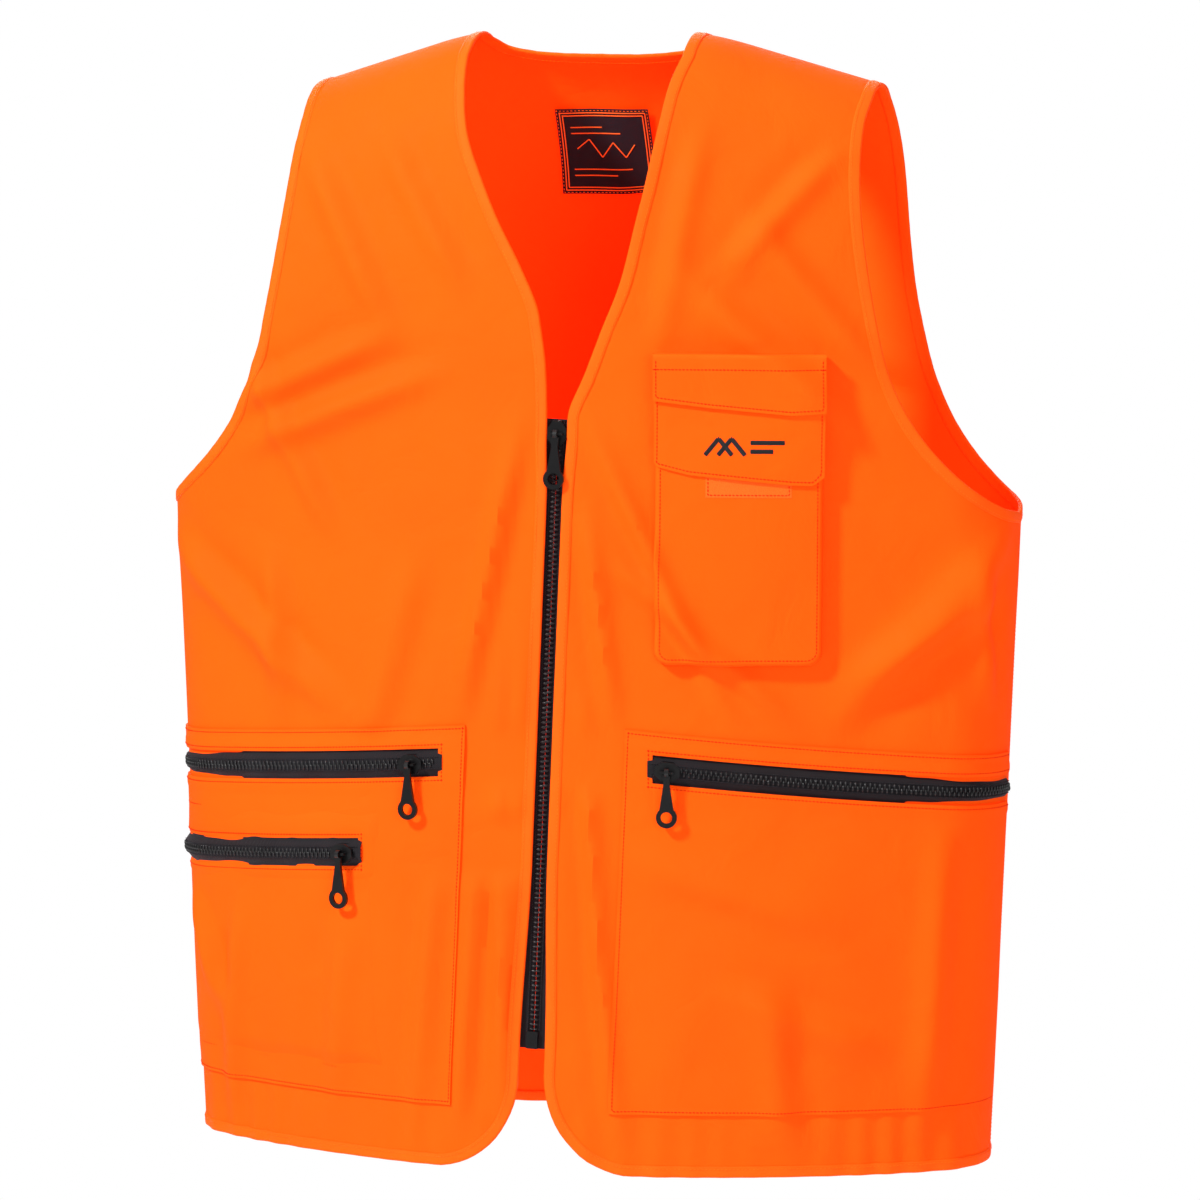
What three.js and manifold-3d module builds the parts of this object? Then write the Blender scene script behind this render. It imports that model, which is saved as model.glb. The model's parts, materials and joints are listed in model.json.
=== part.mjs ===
// Blaze orange zip-front field vest, jointed. Millimetres, +Z up, the front faces -Y,
// +X is the wearer's left. The origin is midway between the shoulder seams at the neck.
import * as THREE from 'three';
import { mergeVertices } from 'three/addons/utils/BufferGeometryUtils.js';
import Module from 'manifold-3d';

const wasm = await Module();
wasm.setup();

// ---- driving dimensions -------------------------------------------------------------
const LENGTH = 720;             // neck point to hem
const CHEST_HALF_WIDTH = 279;   // at the underarm
const HEM_HALF_WIDTH = 262;
const CHEST_HALF_DEPTH = 100;   // at the level where the chest rolls back to the shoulder
const HEM_HALF_DEPTH = 114;
const SIDE_RADIUS = 55;         // corner radius of the oval cross-section
const ROLL_LEVEL = -225;        // above this the cloth rolls back to the shoulder seam
const UNDERARM = -303;
const SHOULDER = -0.02;         // level of the shoulder seam, just short of the fold
const SHOULDER_SLOPE = 0.3;
const NECK_HALF = 70;
const SPLIT = -186;             // below this level the front swings with the zip
const CLOTH = 2;                // nominal: the woven cloth is thinner
const GAP = 0.4;                // air between neighbouring solids
const SEAM_GAP = 1.6;           // air at the side seams, which act as the hinges
const BINDING = 7.6;            // finished width of the edge binding
const BINDING_RISE = 1.6;

const ZIP_TOP = -242;           // level of the top of the front zip
const ZIP_BOTTOM = -641;
const ZIP_X_TOP = 3;            // the zip leans a little to the wearer's right
const ZIP_X_BOTTOM = -11;
const ZIP_HALF_GAP = 7.2;       // from the zip's centre line to either front edge
const CHAIN_INNER = 1;          // the chain halves start here, either side of the centre
const CHAIN_OUTER = 3.2;
const CHAIN_THICK = 2.4;
const TAPE_OUTER = 17;
const TAPE_THICK = 0.8;

const SLIDER_LENGTH = 16;
const SLIDER_HALF_WIDTH = 6;
const SLIDER_PLATE = 1.2;
const BAR_HEIGHT = 3;           // centre of the slider's bar above its top plate
const PULL_LENGTH = 35;
const PULL_RING = 6.6;
const PULL_HOLE = 3.7;

const POCKET_EDGE = 52;         // from the zip's centre line to the pocket seam
const POCKET_TOP = -432;        // levels of slanting lines are taken back to the centre
const POCKET_BOTTOM = -680;
const POCKET_BASE = 1;          // air between the front and the pocket sewn to it
const POCKET_THICK = 2.8;
const POCKET_ZIP = -455;
const POCKET_ZIP_TILT = 0.085;  // the zips' fall towards the side seams
const POCKET_ZIP_HALF = 9;      // half the height of a zip's opening
const POCKET_ZIP_START = 18;    // from the pocket seam to the start of the zip
const POCKET_ZIP_END = 240;
const SMALL_POCKET_EDGE = 108;
const SMALL_POCKET_TOP = -480;
const SMALL_POCKET_BOTTOM = -664;
const SMALL_POCKET_THICK = 2.4;
const SMALL_POCKET_ZIP = -511;

const CHEST_POCKET_LEFT = 66;
const CHEST_POCKET_RIGHT = 171;
const CHEST_POCKET_TOP = -199.4;
const CHEST_POCKET_BOTTOM = -395;
const POUCH_MOUTH = -210;
const POUCH_DEPTH = 6;
const POUCH_WALL = 1.6;

// ---- finishes -----------------------------------------------------------------------
const finish = (color, roughness) => new THREE.MeshStandardMaterial({ color, roughness, metalness: 0 });
const CLOTH_COLOUR = 0xff6a10;
const BINDING_COLOUR = 0xff7f22;
const TAPE_COLOUR = 0x18131a;
const PLASTIC_COLOUR = 0x0d0c0e;
const LABEL_COLOUR = 0x131a2e;

// ---- the shape of the body ----------------------------------------------------------
const mix = (a, b, k) => a + (b - a) * k;
const clamp = (x, a, b) => Math.min(b, Math.max(a, x));
const HEM = -LENGTH;

function halfWidth(v) {
  return mix(HEM_HALF_WIDTH, CHEST_HALF_WIDTH, clamp((v - HEM) / (UNDERARM - HEM), 0, 1));
}

function halfDepth(v) {
  return mix(HEM_HALF_DEPTH, CHEST_HALF_DEPTH, clamp((v - HEM) / (ROLL_LEVEL - HEM), 0, 1));
}

// The front is one large arc, the sides are two small ones, tangent to it.
function section(v) {
  const w = halfWidth(v) - SIDE_RADIUS;
  const d = halfDepth(v) - SIDE_RADIUS;
  const centre = (w * w - d * d) / (2 * d);
  const angle = Math.atan2(w, centre);
  const radius = halfDepth(v) + centre;
  const quarter = radius * angle + SIDE_RADIUS * (Math.PI / 2 - angle);
  return { w, centre, angle, radius, quarter };
}

const quarterLength = (v) => section(v).quarter;

function shoulderDrop(x) {
  const start = 40;
  const end = 100;
  const a = Math.abs(x);
  if (a < start) return 0;
  if (a < end) return SHOULDER_SLOPE * (a - start) ** 2 / (2 * (end - start));
  return SHOULDER_SLOPE * ((end - start) / 2 + a - end);
}

const seamY = (x) => -12 + 0.2 * Math.max(Math.abs(x) - 40, 0);

// A point of the outer cloth: t runs round the body from the centre, v is the level.
function body(t, v, back) {
  const s = section(v);
  const a = Math.abs(t);
  let x;
  let y;
  if (a <= s.radius * s.angle) {
    x = s.radius * Math.sin(a / s.radius);
    y = s.centre - s.radius * Math.cos(a / s.radius);
  } else {
    const b = s.angle + (a - s.radius * s.angle) / SIDE_RADIUS;
    x = s.w + SIDE_RADIUS * Math.sin(b);
    y = -SIDE_RADIUS * Math.cos(b);
  }
  let z = v;
  if (back) y = -y;
  if (v > ROLL_LEVEL) {
    const k = clamp((v - ROLL_LEVEL) / -ROLL_LEVEL, 0, 1);
    y = y * Math.sqrt(Math.max(1 - k ** 3, 0)) + seamY(x) * k * k;
    z = v - shoulderDrop(x) * k * k;
  }
  return new THREE.Vector3(t < 0 ? -x : x, y, z);
}

function outward(t, v, back) {
  const e = 0.5;
  const top = Math.min(v, -3);
  const across = body(t + e, top, back).sub(body(t - e, top, back));
  const down = body(t, top - e, back).sub(body(t, top + e, back));
  const n = down.cross(across).normalize();
  return back ? n.negate() : n;
}

const at = (t, v, n, back) => body(t, v, back).addScaledVector(outward(t, v, back), n);

// ---- solids from grids --------------------------------------------------------------
// Closes the space between two copies of a surface; `outer` and `inner` list its points.
function closedShell(outer, inner, triangles) {
  const half = outer.length;
  const index = [];
  const used = new Set(triangles.flatMap(([a, b, c]) => [`${a},${b}`, `${b},${c}`, `${c},${a}`]));
  for (const [a, b, c] of triangles) {
    index.push(a, b, c, half + a, half + c, half + b);
    for (const [p, q] of [[a, b], [b, c], [c, a]]) {
      if (!used.has(`${q},${p}`)) index.push(q, p, half + p, q, half + p, half + q);
    }
  }
  const g = new THREE.BufferGeometry();
  const points = [...outer, ...inner].flatMap((p) => p.toArray());
  g.setAttribute('position', new THREE.Float32BufferAttribute(points, 3));
  g.setIndex(index);
  return g;
}

// Rows run downwards and columns to the wearer's left, seen from the front.
function gridTriangles(rows, cols, flip) {
  const triangles = [];
  for (let i = 0; i < rows - 1; i += 1) {
    for (let j = 0; j < cols - 1; j += 1) {
      const a = i * cols + j;
      const [b, c, d] = [a + cols, a + cols + 1, a + 1];
      triangles.push(...(flip ? [[a, c, b], [a, d, c]] : [[a, b, c], [a, c, d]]));
    }
  }
  return triangles;
}

const closedGrid = (outer, inner, flip) => (
  closedShell(outer.flat(), inner.flat(), gridTriangles(outer.length, outer[0].length, flip)));

// A sheet of cloth lying on the body. `rise` and `fall` are its faces' offsets.
function cloth(grid, { rise = 0, fall = -CLOTH, back = false } = {}) {
  const lift = (k) => (typeof k === 'function' ? k : () => k);
  const face = (k) => grid.map((row) => row.map(([t, v], j) => (
    at(t, v, lift(k)(j / (row.length - 1)), back))));
  return closedGrid(face(rise), face(fall), back);
}

// Several grids that share edge points, as one sheet.
function quilt(grids, back) {
  const found = new Map();
  const places = [];
  const id = ([t, v]) => {
    const key = `${t.toFixed(6)},${v.toFixed(6)}`;
    if (!found.has(key)) found.set(key, places.push([t, v]) - 1);
    return found.get(key);
  };
  const triangles = grids.flatMap((grid) => {
    const ids = grid.flat().map(id);
    return gridTriangles(grid.length, grid[0].length, back).map((tri) => tri.map((k) => ids[k]));
  });
  const face = (n) => places.map(([t, v]) => at(t, v, n, back));
  return closedShell(face(0), face(-CLOTH), triangles);
}

function along(path, k) {
  const lengths = [0];
  for (let i = 1; i < path.length; i += 1) {
    lengths.push(lengths[i - 1] + Math.hypot(path[i][0] - path[i - 1][0], path[i][1] - path[i - 1][1]));
  }
  const want = k * lengths[lengths.length - 1];
  let i = 1;
  while (i < path.length - 1 && lengths[i] < want) i += 1;
  const f = clamp((want - lengths[i - 1]) / (lengths[i] - lengths[i - 1]), 0, 1);
  return [mix(path[i - 1][0], path[i][0], f), mix(path[i - 1][1], path[i][1], f)];
}

// Where a path's corners fall, as shares of its length, with long runs divided up. The
// runs are shorter round the sides, where the body turns quickly.
function stations(path, step) {
  const lengths = [0];
  const divide = (p, q) => {
    const run = Math.hypot(q[0] - p[0], q[1] - p[1]);
    const turning = Math.max(Math.abs(p[0]), Math.abs(q[0])) > 245;
    if (run > step || (turning && Math.abs(q[0] - p[0]) > 20)) {
      const half = [(p[0] + q[0]) / 2, (p[1] + q[1]) / 2];
      divide(p, half);
      divide(half, q);
    } else {
      lengths.push(lengths.at(-1) + run);
    }
  };
  for (let i = 1; i < path.length; i += 1) divide(path[i - 1], path[i]);
  return lengths.map((length) => length / lengths.at(-1));
}

function merged(a, b, nearest) {
  const all = [...a, ...b.filter((k) => a.every((other) => Math.abs(other - k) > nearest))];
  return all.sort((m, n) => m - n);
}

// Fills the space between four edge lines; left and right run downwards.
function fill(top, bottom, left, right, step = 60) {
  const grid = [];
  const shares = stations(top, step);
  for (const w of merged(stations(right, step), stations(left, step), 0.012)) {
    grid.push(shares.map((u) => {
      const [a, b, l, r] = [along(top, u), along(bottom, u), along(left, w), along(right, w)];
      return [0, 1].map((c) => (
        mix(a[c], b[c], w) + mix(l[c], r[c], u)
        - mix(mix(top[0][c], top.at(-1)[c], u), mix(bottom[0][c], bottom.at(-1)[c], u), w)));
    }));
  }
  return grid;
}

// How much cloth there is to one unit of level; it grows where the cloth rolls back.
function stretch(v) {
  const w = Math.min(v, -1);
  return body(0, w + 0.5, false).distanceTo(body(0, w - 0.5, false));
}

// The line a set distance to one side of a path, measured on the cloth.
function beside(path, d) {
  return path.map((p, i) => {
    const a = path[Math.max(i - 1, 0)];
    const b = path[Math.min(i + 1, path.length - 1)];
    const grow = stretch(p[1]);
    const rise = (b[1] - a[1]) * grow;
    const len = Math.hypot(b[0] - a[0], rise);
    return [p[0] - rise / len * d, Math.min(p[1] + (b[0] - a[0]) / len * d / grow, SHOULDER)];
  });
}

// The part of a downward path above (or below) a level.
function clipped(path, level, keepAbove) {
  const out = [];
  path.forEach((p, i) => {
    const q = path[i + 1];
    if ((p[1] >= level) === keepAbove) out.push(p);
    if (q && (p[1] >= level) !== (q[1] >= level)) {
      out.push([mix(p[0], q[0], (p[1] - level) / (p[1] - q[1])), level]);
    }
  });
  return out;
}

function smooth(path, count) {
  const knots = path.map(([t, v]) => new THREE.Vector3(t, v, 0));
  const curve = new THREE.CatmullRomCurve3(knots, false, 'centripetal');
  return curve.getSpacedPoints(count).map((p) => [p.x, p.y]);
}

// Bias tape folded over an edge: it lies to the left of the path, rounded on the outside.
function binding(path, options = {}) {
  const lines = [0, 0.5, 1].map((k) => beside(path, BINDING * k));
  const grid = lines[0].map((_, i) => lines.map((line) => line[i]));
  const round = (low, high) => (u) => mix(low, high, 1 - Math.abs(u - 0.5) * 2);
  return cloth(grid, { rise: round(0.5, BINDING_RISE), fall: -CLOTH - 0.1, ...options });
}

const mirrored = (geometry) => {
  const g = geometry.clone();
  g.scale(-1, 1, 1);
  const index = g.getIndex();
  for (let i = 0; i < index.count; i += 3) {
    const a = index.getX(i);
    index.setX(i, index.getX(i + 1));
    index.setX(i + 1, a);
  }
  return g;
};

// ---- joining and cutting ------------------------------------------------------------
function toManifold(geometry) {
  const g = geometry.clone();
  g.deleteAttribute('normal');
  g.deleteAttribute('uv');
  const m = mergeVertices(g, 1e-4);
  return new wasm.Manifold(new wasm.Mesh({
    numProp: 3,
    vertProperties: new Float32Array(m.attributes.position.array),
    triVerts: new Uint32Array(m.index.array),
  }));
}

function fromManifold(solid) {
  const mesh = solid.getMesh();
  const g = new THREE.BufferGeometry();
  g.setAttribute('position', new THREE.BufferAttribute(new Float32Array(mesh.vertProperties), 3));
  g.setIndex(Array.from(mesh.triVerts));
  return g;
}

const joined = (...parts) => fromManifold(parts.map(toManifold).reduce((a, b) => a.add(b)));

function block(x0, x1, y0, y1, z0, z1) {
  const g = new THREE.BoxGeometry(x1 - x0, y1 - y0, z1 - z0);
  g.translate((x0 + x1) / 2, (y0 + y1) / 2, (z0 + z1) / 2);
  return g;
}

// ---- edge lines of the panels, for the wearer's left, in (t, v) ----------------------
const zipX = (v) => mix(ZIP_X_TOP, ZIP_X_BOTTOM, (v - ZIP_TOP) / (ZIP_BOTTOM - ZIP_TOP));
const side = (v) => quarterLength(v) - SEAM_GAP / 2;

// Close rows carry a downward line up over the tight bend to the shoulder seam.
const overShoulder = (line) => [...[SHOULDER, -0.5, -2, -5, -9].map((v) => [line[0][0], v]), ...line];

// Each side of the opening: neck, front edge, rounded corner. `s` is 1 left, -1 right.
// The V neck of one front, from the shoulder down. The wearer's left side runs on to the zip.
const NECK = {
  '1': [[70, -14], [66, -32], [63, -55], [57, -94], [52.5, -115], [42.5, -157], [31, SPLIT]],
  '-1': [[70, -14], [67, -34], [61, -63], [47.5, -95], [36, -119], [21.5, -146], [10, -172], [7.4, SPLIT]],
};

function neckLine(s) {
  return overShoulder(smooth(NECK[s], 10));
}

function frontLine(s) {
  const start = neckLine(s).at(-1);
  const foot = HEM + 62;
  const edge = (v) => ZIP_HALF_GAP + s * zipX(v);
  const corner = [15, 30, 45, 60, 75, 90].map((deg) => {
    const a = deg * Math.PI / 180;
    return [edge(foot) + 58 * (1 - Math.cos(a)), foot - 62 * Math.sin(a)];
  });
  const bend = s > 0 ? [[20.2, -214], [11.6, -236]] : [[5.2, -208], [edge(-236), -236]];
  const straight = [-250, -300, -400, -500, -600, foot].map((v) => [edge(v), v]);
  return [start, ...bend, ...straight, ...corner];
}

function hemLine(s) {
  const ends = [frontLine(s).at(-1), [side(HEM) - 1, HEM]];
  return stations(ends, 30).map((k) => along(ends, k));
}

const ARMHOLE = [[188, -14], [187, -32], [188, -65], [191, -100], [196, -137], [202, -172]];
const armholeUpper = overShoulder(smooth([...ARMHOLE, [204.5, SPLIT]], 9));
const armholeLower = smooth([[204.5, SPLIT], [211, -212], [224, -240], [242, -264], [264, -284],
  [290, -298], [side(UNDERARM) - 1, UNDERARM]], 9);
const ARMHOLE_BACK = overShoulder(smooth([[188, -14], [192, -60], [197, -130], [204, -180], [217, -225],
  [238, -260], [268, -287], [side(UNDERARM) - 1, UNDERARM]], 13));

// ---- the cloth panels and their bindings --------------------------------------------
const EDGE = BINDING + 0.7;

// Both front edges as one downward line, moved in by the width of the binding.
const frontEdge = (s) => beside([...neckLine(s), ...frontLine(s).slice(1)], EDGE);
const armEdge = beside([...armholeUpper, ...armholeLower.slice(1)], -EDGE);

function upperPanel(s) {
  const neck = clipped(frontEdge(s), SPLIT + GAP, true);
  const arm = clipped(armEdge, SPLIT + GAP, true);
  return cloth(fill([neck[0], arm[0]], [neck.at(-1), arm.at(-1)], neck, arm, 30));
}

function lowerPanel(s) {
  const base = HEM + EDGE;
  const left = clipped(clipped(frontEdge(s), SPLIT - GAP, false), base, true);
  const corner = [side(UNDERARM - 8), UNDERARM - EDGE];
  const arm = [...clipped(armEdge, SPLIT - GAP, false).slice(0, -1), corner];
  const right = [corner, [side(-400), -400], [side(-550), -550], [side(base), base]];
  return cloth(fill([left[0], ...arm], [left.at(-1), [side(base), base]], left, right));
}

// The four edge lines of a plain rectangle.
const box = (t0, t1, v0, v1) => [[[t0, v1], [t1, v1]], [[t0, v0], [t1, v0]], [[t0, v1], [t0, v0]],
  [[t1, v1], [t1, v0]]];

const crossed = (grid) => grid.map((row) => row.map(([t, v]) => [-t, v]).reverse());

// The back is four grids that share their edges: two shoulders, the blades and the rest.
function backPanel() {
  const arm = beside(ARMHOLE_BACK, -EDGE);
  const neck = beside(backNeckLine(), -EDGE).filter(([t]) => t >= 0).reverse();
  const corner = [side(UNDERARM - 8), UNDERARM - EDGE];
  const [yoke, seat, base] = [-7, -200, HEM + EDGE];
  const flipped = (line) => line.map(([t, v]) => [-t, v]);

  const [inside, outside] = [clipped(neck, yoke, true), clipped(arm, yoke, true)];
  const shoulder = fill([inside[0], outside[0]], [inside.at(-1), outside.at(-1)], inside, outside);
  const scoop = clipped(neck, yoke, false).slice(1).reverse();
  const top = [...flipped([...scoop.slice(1), ...shoulder.at(-1)]).reverse(), ...scoop, ...shoulder.at(-1)];
  const high = clipped(clipped(arm, yoke, false), seat, true);
  const blades = fill(top, [[-high.at(-1)[0], seat], high.at(-1)], flipped(high), high);

  const low = [...clipped(arm, seat, false).slice(0, -1), corner];
  const line = [...flipped(low).reverse().slice(0, -1), ...blades.at(-1), ...low.slice(1)];
  const right = [corner, [side(-400), -400], [side(-550), -550], [side(base), base]];
  const rest = fill(line, [[-side(base), base], [side(base), base]], flipped(right), right);
  return quilt([shoulder, crossed(shoulder), blades, rest], true);
}

function backNeckLine() {
  const scoop = smooth([[0, -17], [28, -16.5], [50, -14.5], [64, -10], [NECK_HALF, -4]], 6);
  const half = [...scoop, ...[-2, -0.5, SHOULDER].map((v) => [NECK_HALF, v])];
  return [...half.map(([t, v]) => [-t, v]).reverse().slice(0, -1), ...half];
}

// ---- zip fittings, each made in its own axes: y outward from the body, z up ----------
function placed(geometry, origin, out, up) {
  const g = geometry.clone();
  g.applyMatrix4(new THREE.Matrix4().makeBasis(out.clone().cross(up), out, up).setPosition(origin));
  return g;
}

// A pull: an eye round the slider's bar, a stem that widens, and a ring to hold.
function pull() {
  const foot = -PULL_LENGTH + PULL_RING;
  const outline = new THREE.Shape();
  outline.moveTo(-2.4, -1.9);
  outline.lineTo(-2, -8);
  outline.lineTo(-4.4, foot + 5);
  outline.absarc(0, foot, PULL_RING, Math.PI * 0.82, Math.PI * 2.18, false);
  outline.lineTo(4.4, foot + 5);
  outline.lineTo(2, -8);
  outline.lineTo(2.4, -1.9);
  outline.closePath();
  const hole = new THREE.Path();
  hole.absarc(0, foot, PULL_HOLE, 0, Math.PI * 2, true);
  outline.holes.push(hole);
  const tab = new THREE.ExtrudeGeometry(outline, { depth: 2.2, bevelEnabled: false, curveSegments: 8 });
  tab.rotateX(Math.PI / 2);
  tab.translate(0, 1.1, 0);
  const ring = new THREE.Shape();
  ring.absarc(0, 0, 2.7, 0, Math.PI * 2, false);
  const eye = new THREE.Path();
  eye.absarc(0, 0, 1.4, 0, Math.PI * 2, true);
  ring.holes.push(eye);
  const hoop = new THREE.ExtrudeGeometry(ring, { depth: 2.6, bevelEnabled: false, curveSegments: 6 });
  hoop.rotateY(Math.PI / 2);
  hoop.translate(-1.3, 0, 0);
  return joined(tab, hoop);
}

// Two plates held apart by a web that runs between the chain halves, and a bail on top.
// The slider runs along z over a chain whose inner face is at `base`.
function slider(base, bailLengthwise) {
  const plate = (y) => {
    const g = new THREE.CylinderGeometry(1, 1, SLIDER_PLATE, 8);
    g.rotateY(Math.PI / 8);
    const grow = 1 / Math.cos(Math.PI / 8);
    g.scale(SLIDER_HALF_WIDTH * grow, 1, SLIDER_LENGTH / 2 * grow);
    g.translate(0, y + SLIDER_PLATE / 2, 0);
    return g;
  };
  const end = SLIDER_LENGTH / 2;
  const high = base + CHAIN_THICK + GAP;
  const top = high + SLIDER_PLATE;
  const web = block(-0.6, 0.6, base - GAP - 0.5, high + 0.5, end - 7, end - 0.5);
  const bail = [
    block(-0.7, 0.7, top + BAR_HEIGHT - 0.7, top + BAR_HEIGHT + 0.7, -4.4, 4.4),
    block(-0.7, 0.7, top - 0.5, top + BAR_HEIGHT + 0.7, -4.4, -3.1),
    block(-0.7, 0.7, top - 0.5, top + BAR_HEIGHT + 0.7, 3.1, 4.4),
  ];
  if (!bailLengthwise) bail.forEach((g) => g.rotateY(Math.PI / 2));
  const body = joined(plate(base - GAP - SLIDER_PLATE), plate(high), web, ...bail);
  return { body, bar: top + BAR_HEIGHT };
}

// ---- the front zip, on a straight line ----------------------------------------------
const zipPoint = (v) => new THREE.Vector3(zipX(v), -halfDepth(v), v);
const zipHead = zipPoint(ZIP_TOP);
const zipUp = zipHead.clone().sub(zipPoint(ZIP_BOTTOM)).normalize();
const zipOut = new THREE.Vector3(0, -1, 0).addScaledVector(zipUp, zipUp.y).normalize();
const ZIP_LENGTH = zipHead.distanceTo(zipPoint(ZIP_BOTTOM));
const SLIDER_REST = SLIDER_LENGTH / 2 + 1;
const SLIDER_END = ZIP_LENGTH - 14 - SLIDER_LENGTH / 2;
const CHAIN_BASE = -CLOTH - 1.8;        // inner face of the front chain, from the cloth's face

const onZip = (g) => placed(g, zipHead, zipOut, zipUp);

// A block beside the zip's centre line: `a` to `b` sideways, `from` to `to` downwards.
function beadOf(s, a, b, y0, y1, from, to) {
  return s > 0 ? block(-b, -a, y0, y1, -to, -from) : block(a, b, y0, y1, -to, -from);
}

const chainOf = (s, from, to) => (
  beadOf(s, CHAIN_INNER, CHAIN_OUTER, CHAIN_BASE, CHAIN_BASE + CHAIN_THICK, from, to));

const tapeOf = (s, a, from, to) => (
  beadOf(s, a, TAPE_OUTER, CHAIN_BASE - 0.05, CHAIN_BASE - 0.05 + TAPE_THICK, from, to));

// The wearer's right half is cut back where the slider rests, so the front can swing clear.
const clearOf = SLIDER_LENGTH / 2 + 1.5;
const MATED = [SLIDER_REST + clearOf, SLIDER_END - clearOf];
const frontZip = {
  zip_chain_left: onZip(chainOf(1, 1, ZIP_LENGTH - 11.5)),
  zip_chain_right: onZip(chainOf(-1, ...MATED)),
  zip_box: onZip(block(-CHAIN_OUTER, 4, CHAIN_BASE - 0.6, CHAIN_BASE + 3, -ZIP_LENGTH, -ZIP_LENGTH + 11)),
};
const frontTapes = {
  zip_tape_left: onZip(tapeOf(1, CHAIN_OUTER + GAP, 0, ZIP_LENGTH)),
  zip_tape_right: onZip(joined(tapeOf(-1, SLIDER_HALF_WIDTH + 0.8, 0, ZIP_LENGTH),
    tapeOf(-1, CHAIN_OUTER + GAP, ...MATED))),
};
const frontSlider = slider(CHAIN_BASE, false);
const frontPull = pull().translate(0, frontSlider.bar, 0);

// ---- pocket zips, on an arc about a tilted axis --------------------------------------
function arcFrame(level) {
  const s = section(level - 12);
  const tilt = Math.atan(POCKET_ZIP_TILT);
  return {
    centre: new THREE.Vector3(0, s.centre, level),
    radius: s.radius,
    across: new THREE.Vector3(Math.cos(tilt), 0, -Math.sin(tilt)),
    axis: new THREE.Vector3(Math.sin(tilt), 0, Math.cos(tilt)),
  };
}

function onArc(frame, t, n, w) {
  const a = t / frame.radius;
  return frame.centre.clone()
    .addScaledVector(new THREE.Vector3(0, -1, 0), (frame.radius + n) * Math.cos(a))
    .addScaledVector(frame.across, (frame.radius + n) * Math.sin(a))
    .addScaledVector(frame.axis, w);
}

function arcStrip(frame, [t0, t1], [w0, w1], [n0, n1], steps) {
  const face = (n) => [w1, w0].map((w) => Array.from({ length: steps + 1 }, (_, i) => (
    onArc(frame, mix(t0, t1, i / steps), n, w))));
  return closedGrid(face(n1), face(n0), false);
}

// Tape, chain, slider and pull of one pocket zip. `base` is the face it is sewn over.
function pocketZip(level, start, rest, end, base) {
  const frame = arcFrame(level);
  const chain = base + 0.8 + SLIDER_PLATE + GAP;
  const tapeSpan = [chain + 0.8, chain + 0.8 + TAPE_THICK];
  const chainSpan = [chain, chain + CHAIN_THICK];
  const w = POCKET_ZIP_HALF - 0.9;
  const inner = CHAIN_OUTER + GAP;
  const tapes = joined(
    arcStrip(frame, [start, end], [inner, w], tapeSpan, 14),
    arcStrip(frame, [start, end], [-w, -inner], tapeSpan, 14),
    arcStrip(frame, [end - 3, end], [-w, w], tapeSpan, 1),
    arcStrip(frame, [start, start + 1.2], [-w, w], tapeSpan, 1),
  );
  const run = [start + 1.8, end - 3.6];
  const chains = joined(
    arcStrip(frame, run, [CHAIN_INNER, CHAIN_OUTER], chainSpan, 14),
    arcStrip(frame, run, [-CHAIN_OUTER, -CHAIN_INNER], chainSpan, 14),
    arcStrip(frame, [end - 5.6, end - 3.6], [-CHAIN_OUTER, CHAIN_OUTER], chainSpan, 1),
  );
  const out = onArc(frame, rest, 1, 0).sub(onArc(frame, rest, 0, 0));
  const { body, bar } = slider(chain, true);
  body.rotateY(Math.PI / 2);
  const seat = onArc(frame, rest, 0, 0);
  return {
    tape: tapes,
    chain: chains,
    slider: placed(body, seat, out, frame.axis),
    pull: placed(pull().translate(0, bar, 0), seat, out, new THREE.Vector3(0, 0, 1)),
  };
}

// ---- pockets ------------------------------------------------------------------------
// The fall of a slanting seam below its level at the centre line.
const slant = (level, t) => level - POCKET_ZIP_TILT * body(t, level, false).x;

// A pocket's front, thin at its sewn rim, with a slot for its zip.
function pocketFront(edge, top, zipLevel, slot, bottom, base, thick) {
  const half = POCKET_ZIP_HALF;
  const levels = [(t) => slant(top, t), (t) => slant(top, t) - 4, (t) => slant(zipLevel + half, t)];
  for (let i = 0; i <= 5; i += 1) levels.push((t) => mix(slant(zipLevel - half, t), bottom + 5, i / 5));
  levels.push(() => bottom);
  const between = (a, b, count) => Array.from({ length: count }, (_, i) => mix(a, b, (i + 1) / count));
  const sideColumns = Math.max(4, Math.ceil((side(zipLevel) - slot[1]) / 18));
  const columns = levels.map((level) => {
    const left = edge(level(slot[0]));
    const right = side(level(280)) - 1.5;
    return [left, left + 5, slot[0], ...between(...slot, 5), ...between(slot[1], right, sideColumns)];
  });
  const count = columns[0].length;
  const face = (rimRise, rise) => columns.map((row, i) => row.map((t, j) => {
    const rim = i === 0 || i === levels.length - 1 || j === 0 || j === count - 1;
    return at(t, levels[i](t), base + (rim ? rimRise : rise), false);
  }));
  const inSlot = (k) => {
    const cell = Math.floor(k / 2);
    const column = cell % (count - 1);
    return Math.floor(cell / (count - 1)) === 2 && column >= 2 && column < 7;
  };
  const cells = gridTriangles(levels.length, count, false).filter((_, k) => !inSlot(k));
  return closedShell(face(1.2, thick).flat(), face(0, 0).flat(), cells);
}

// A flap hanging from the top of the chest pocket.
function flap(foot, low, high) {
  const [a, b, top] = [CHEST_POCKET_LEFT, CHEST_POCKET_RIGHT, CHEST_POCKET_TOP];
  const lid = fill([[a, top], [b, top]], foot, [[a, top], foot[0]], [[b, top], foot.at(-1)], 30);
  return cloth(lid, { rise: high, fall: low });
}

// The short web that carries the lower flap off the chest.
function flapWeb(high) {
  const [a, b, top] = [CHEST_POCKET_LEFT, CHEST_POCKET_RIGHT, CHEST_POCKET_TOP];
  return cloth(fill(...box(a, b, top - 1.6, top), 30), { rise: high, fall: 1.6 });
}

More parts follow.
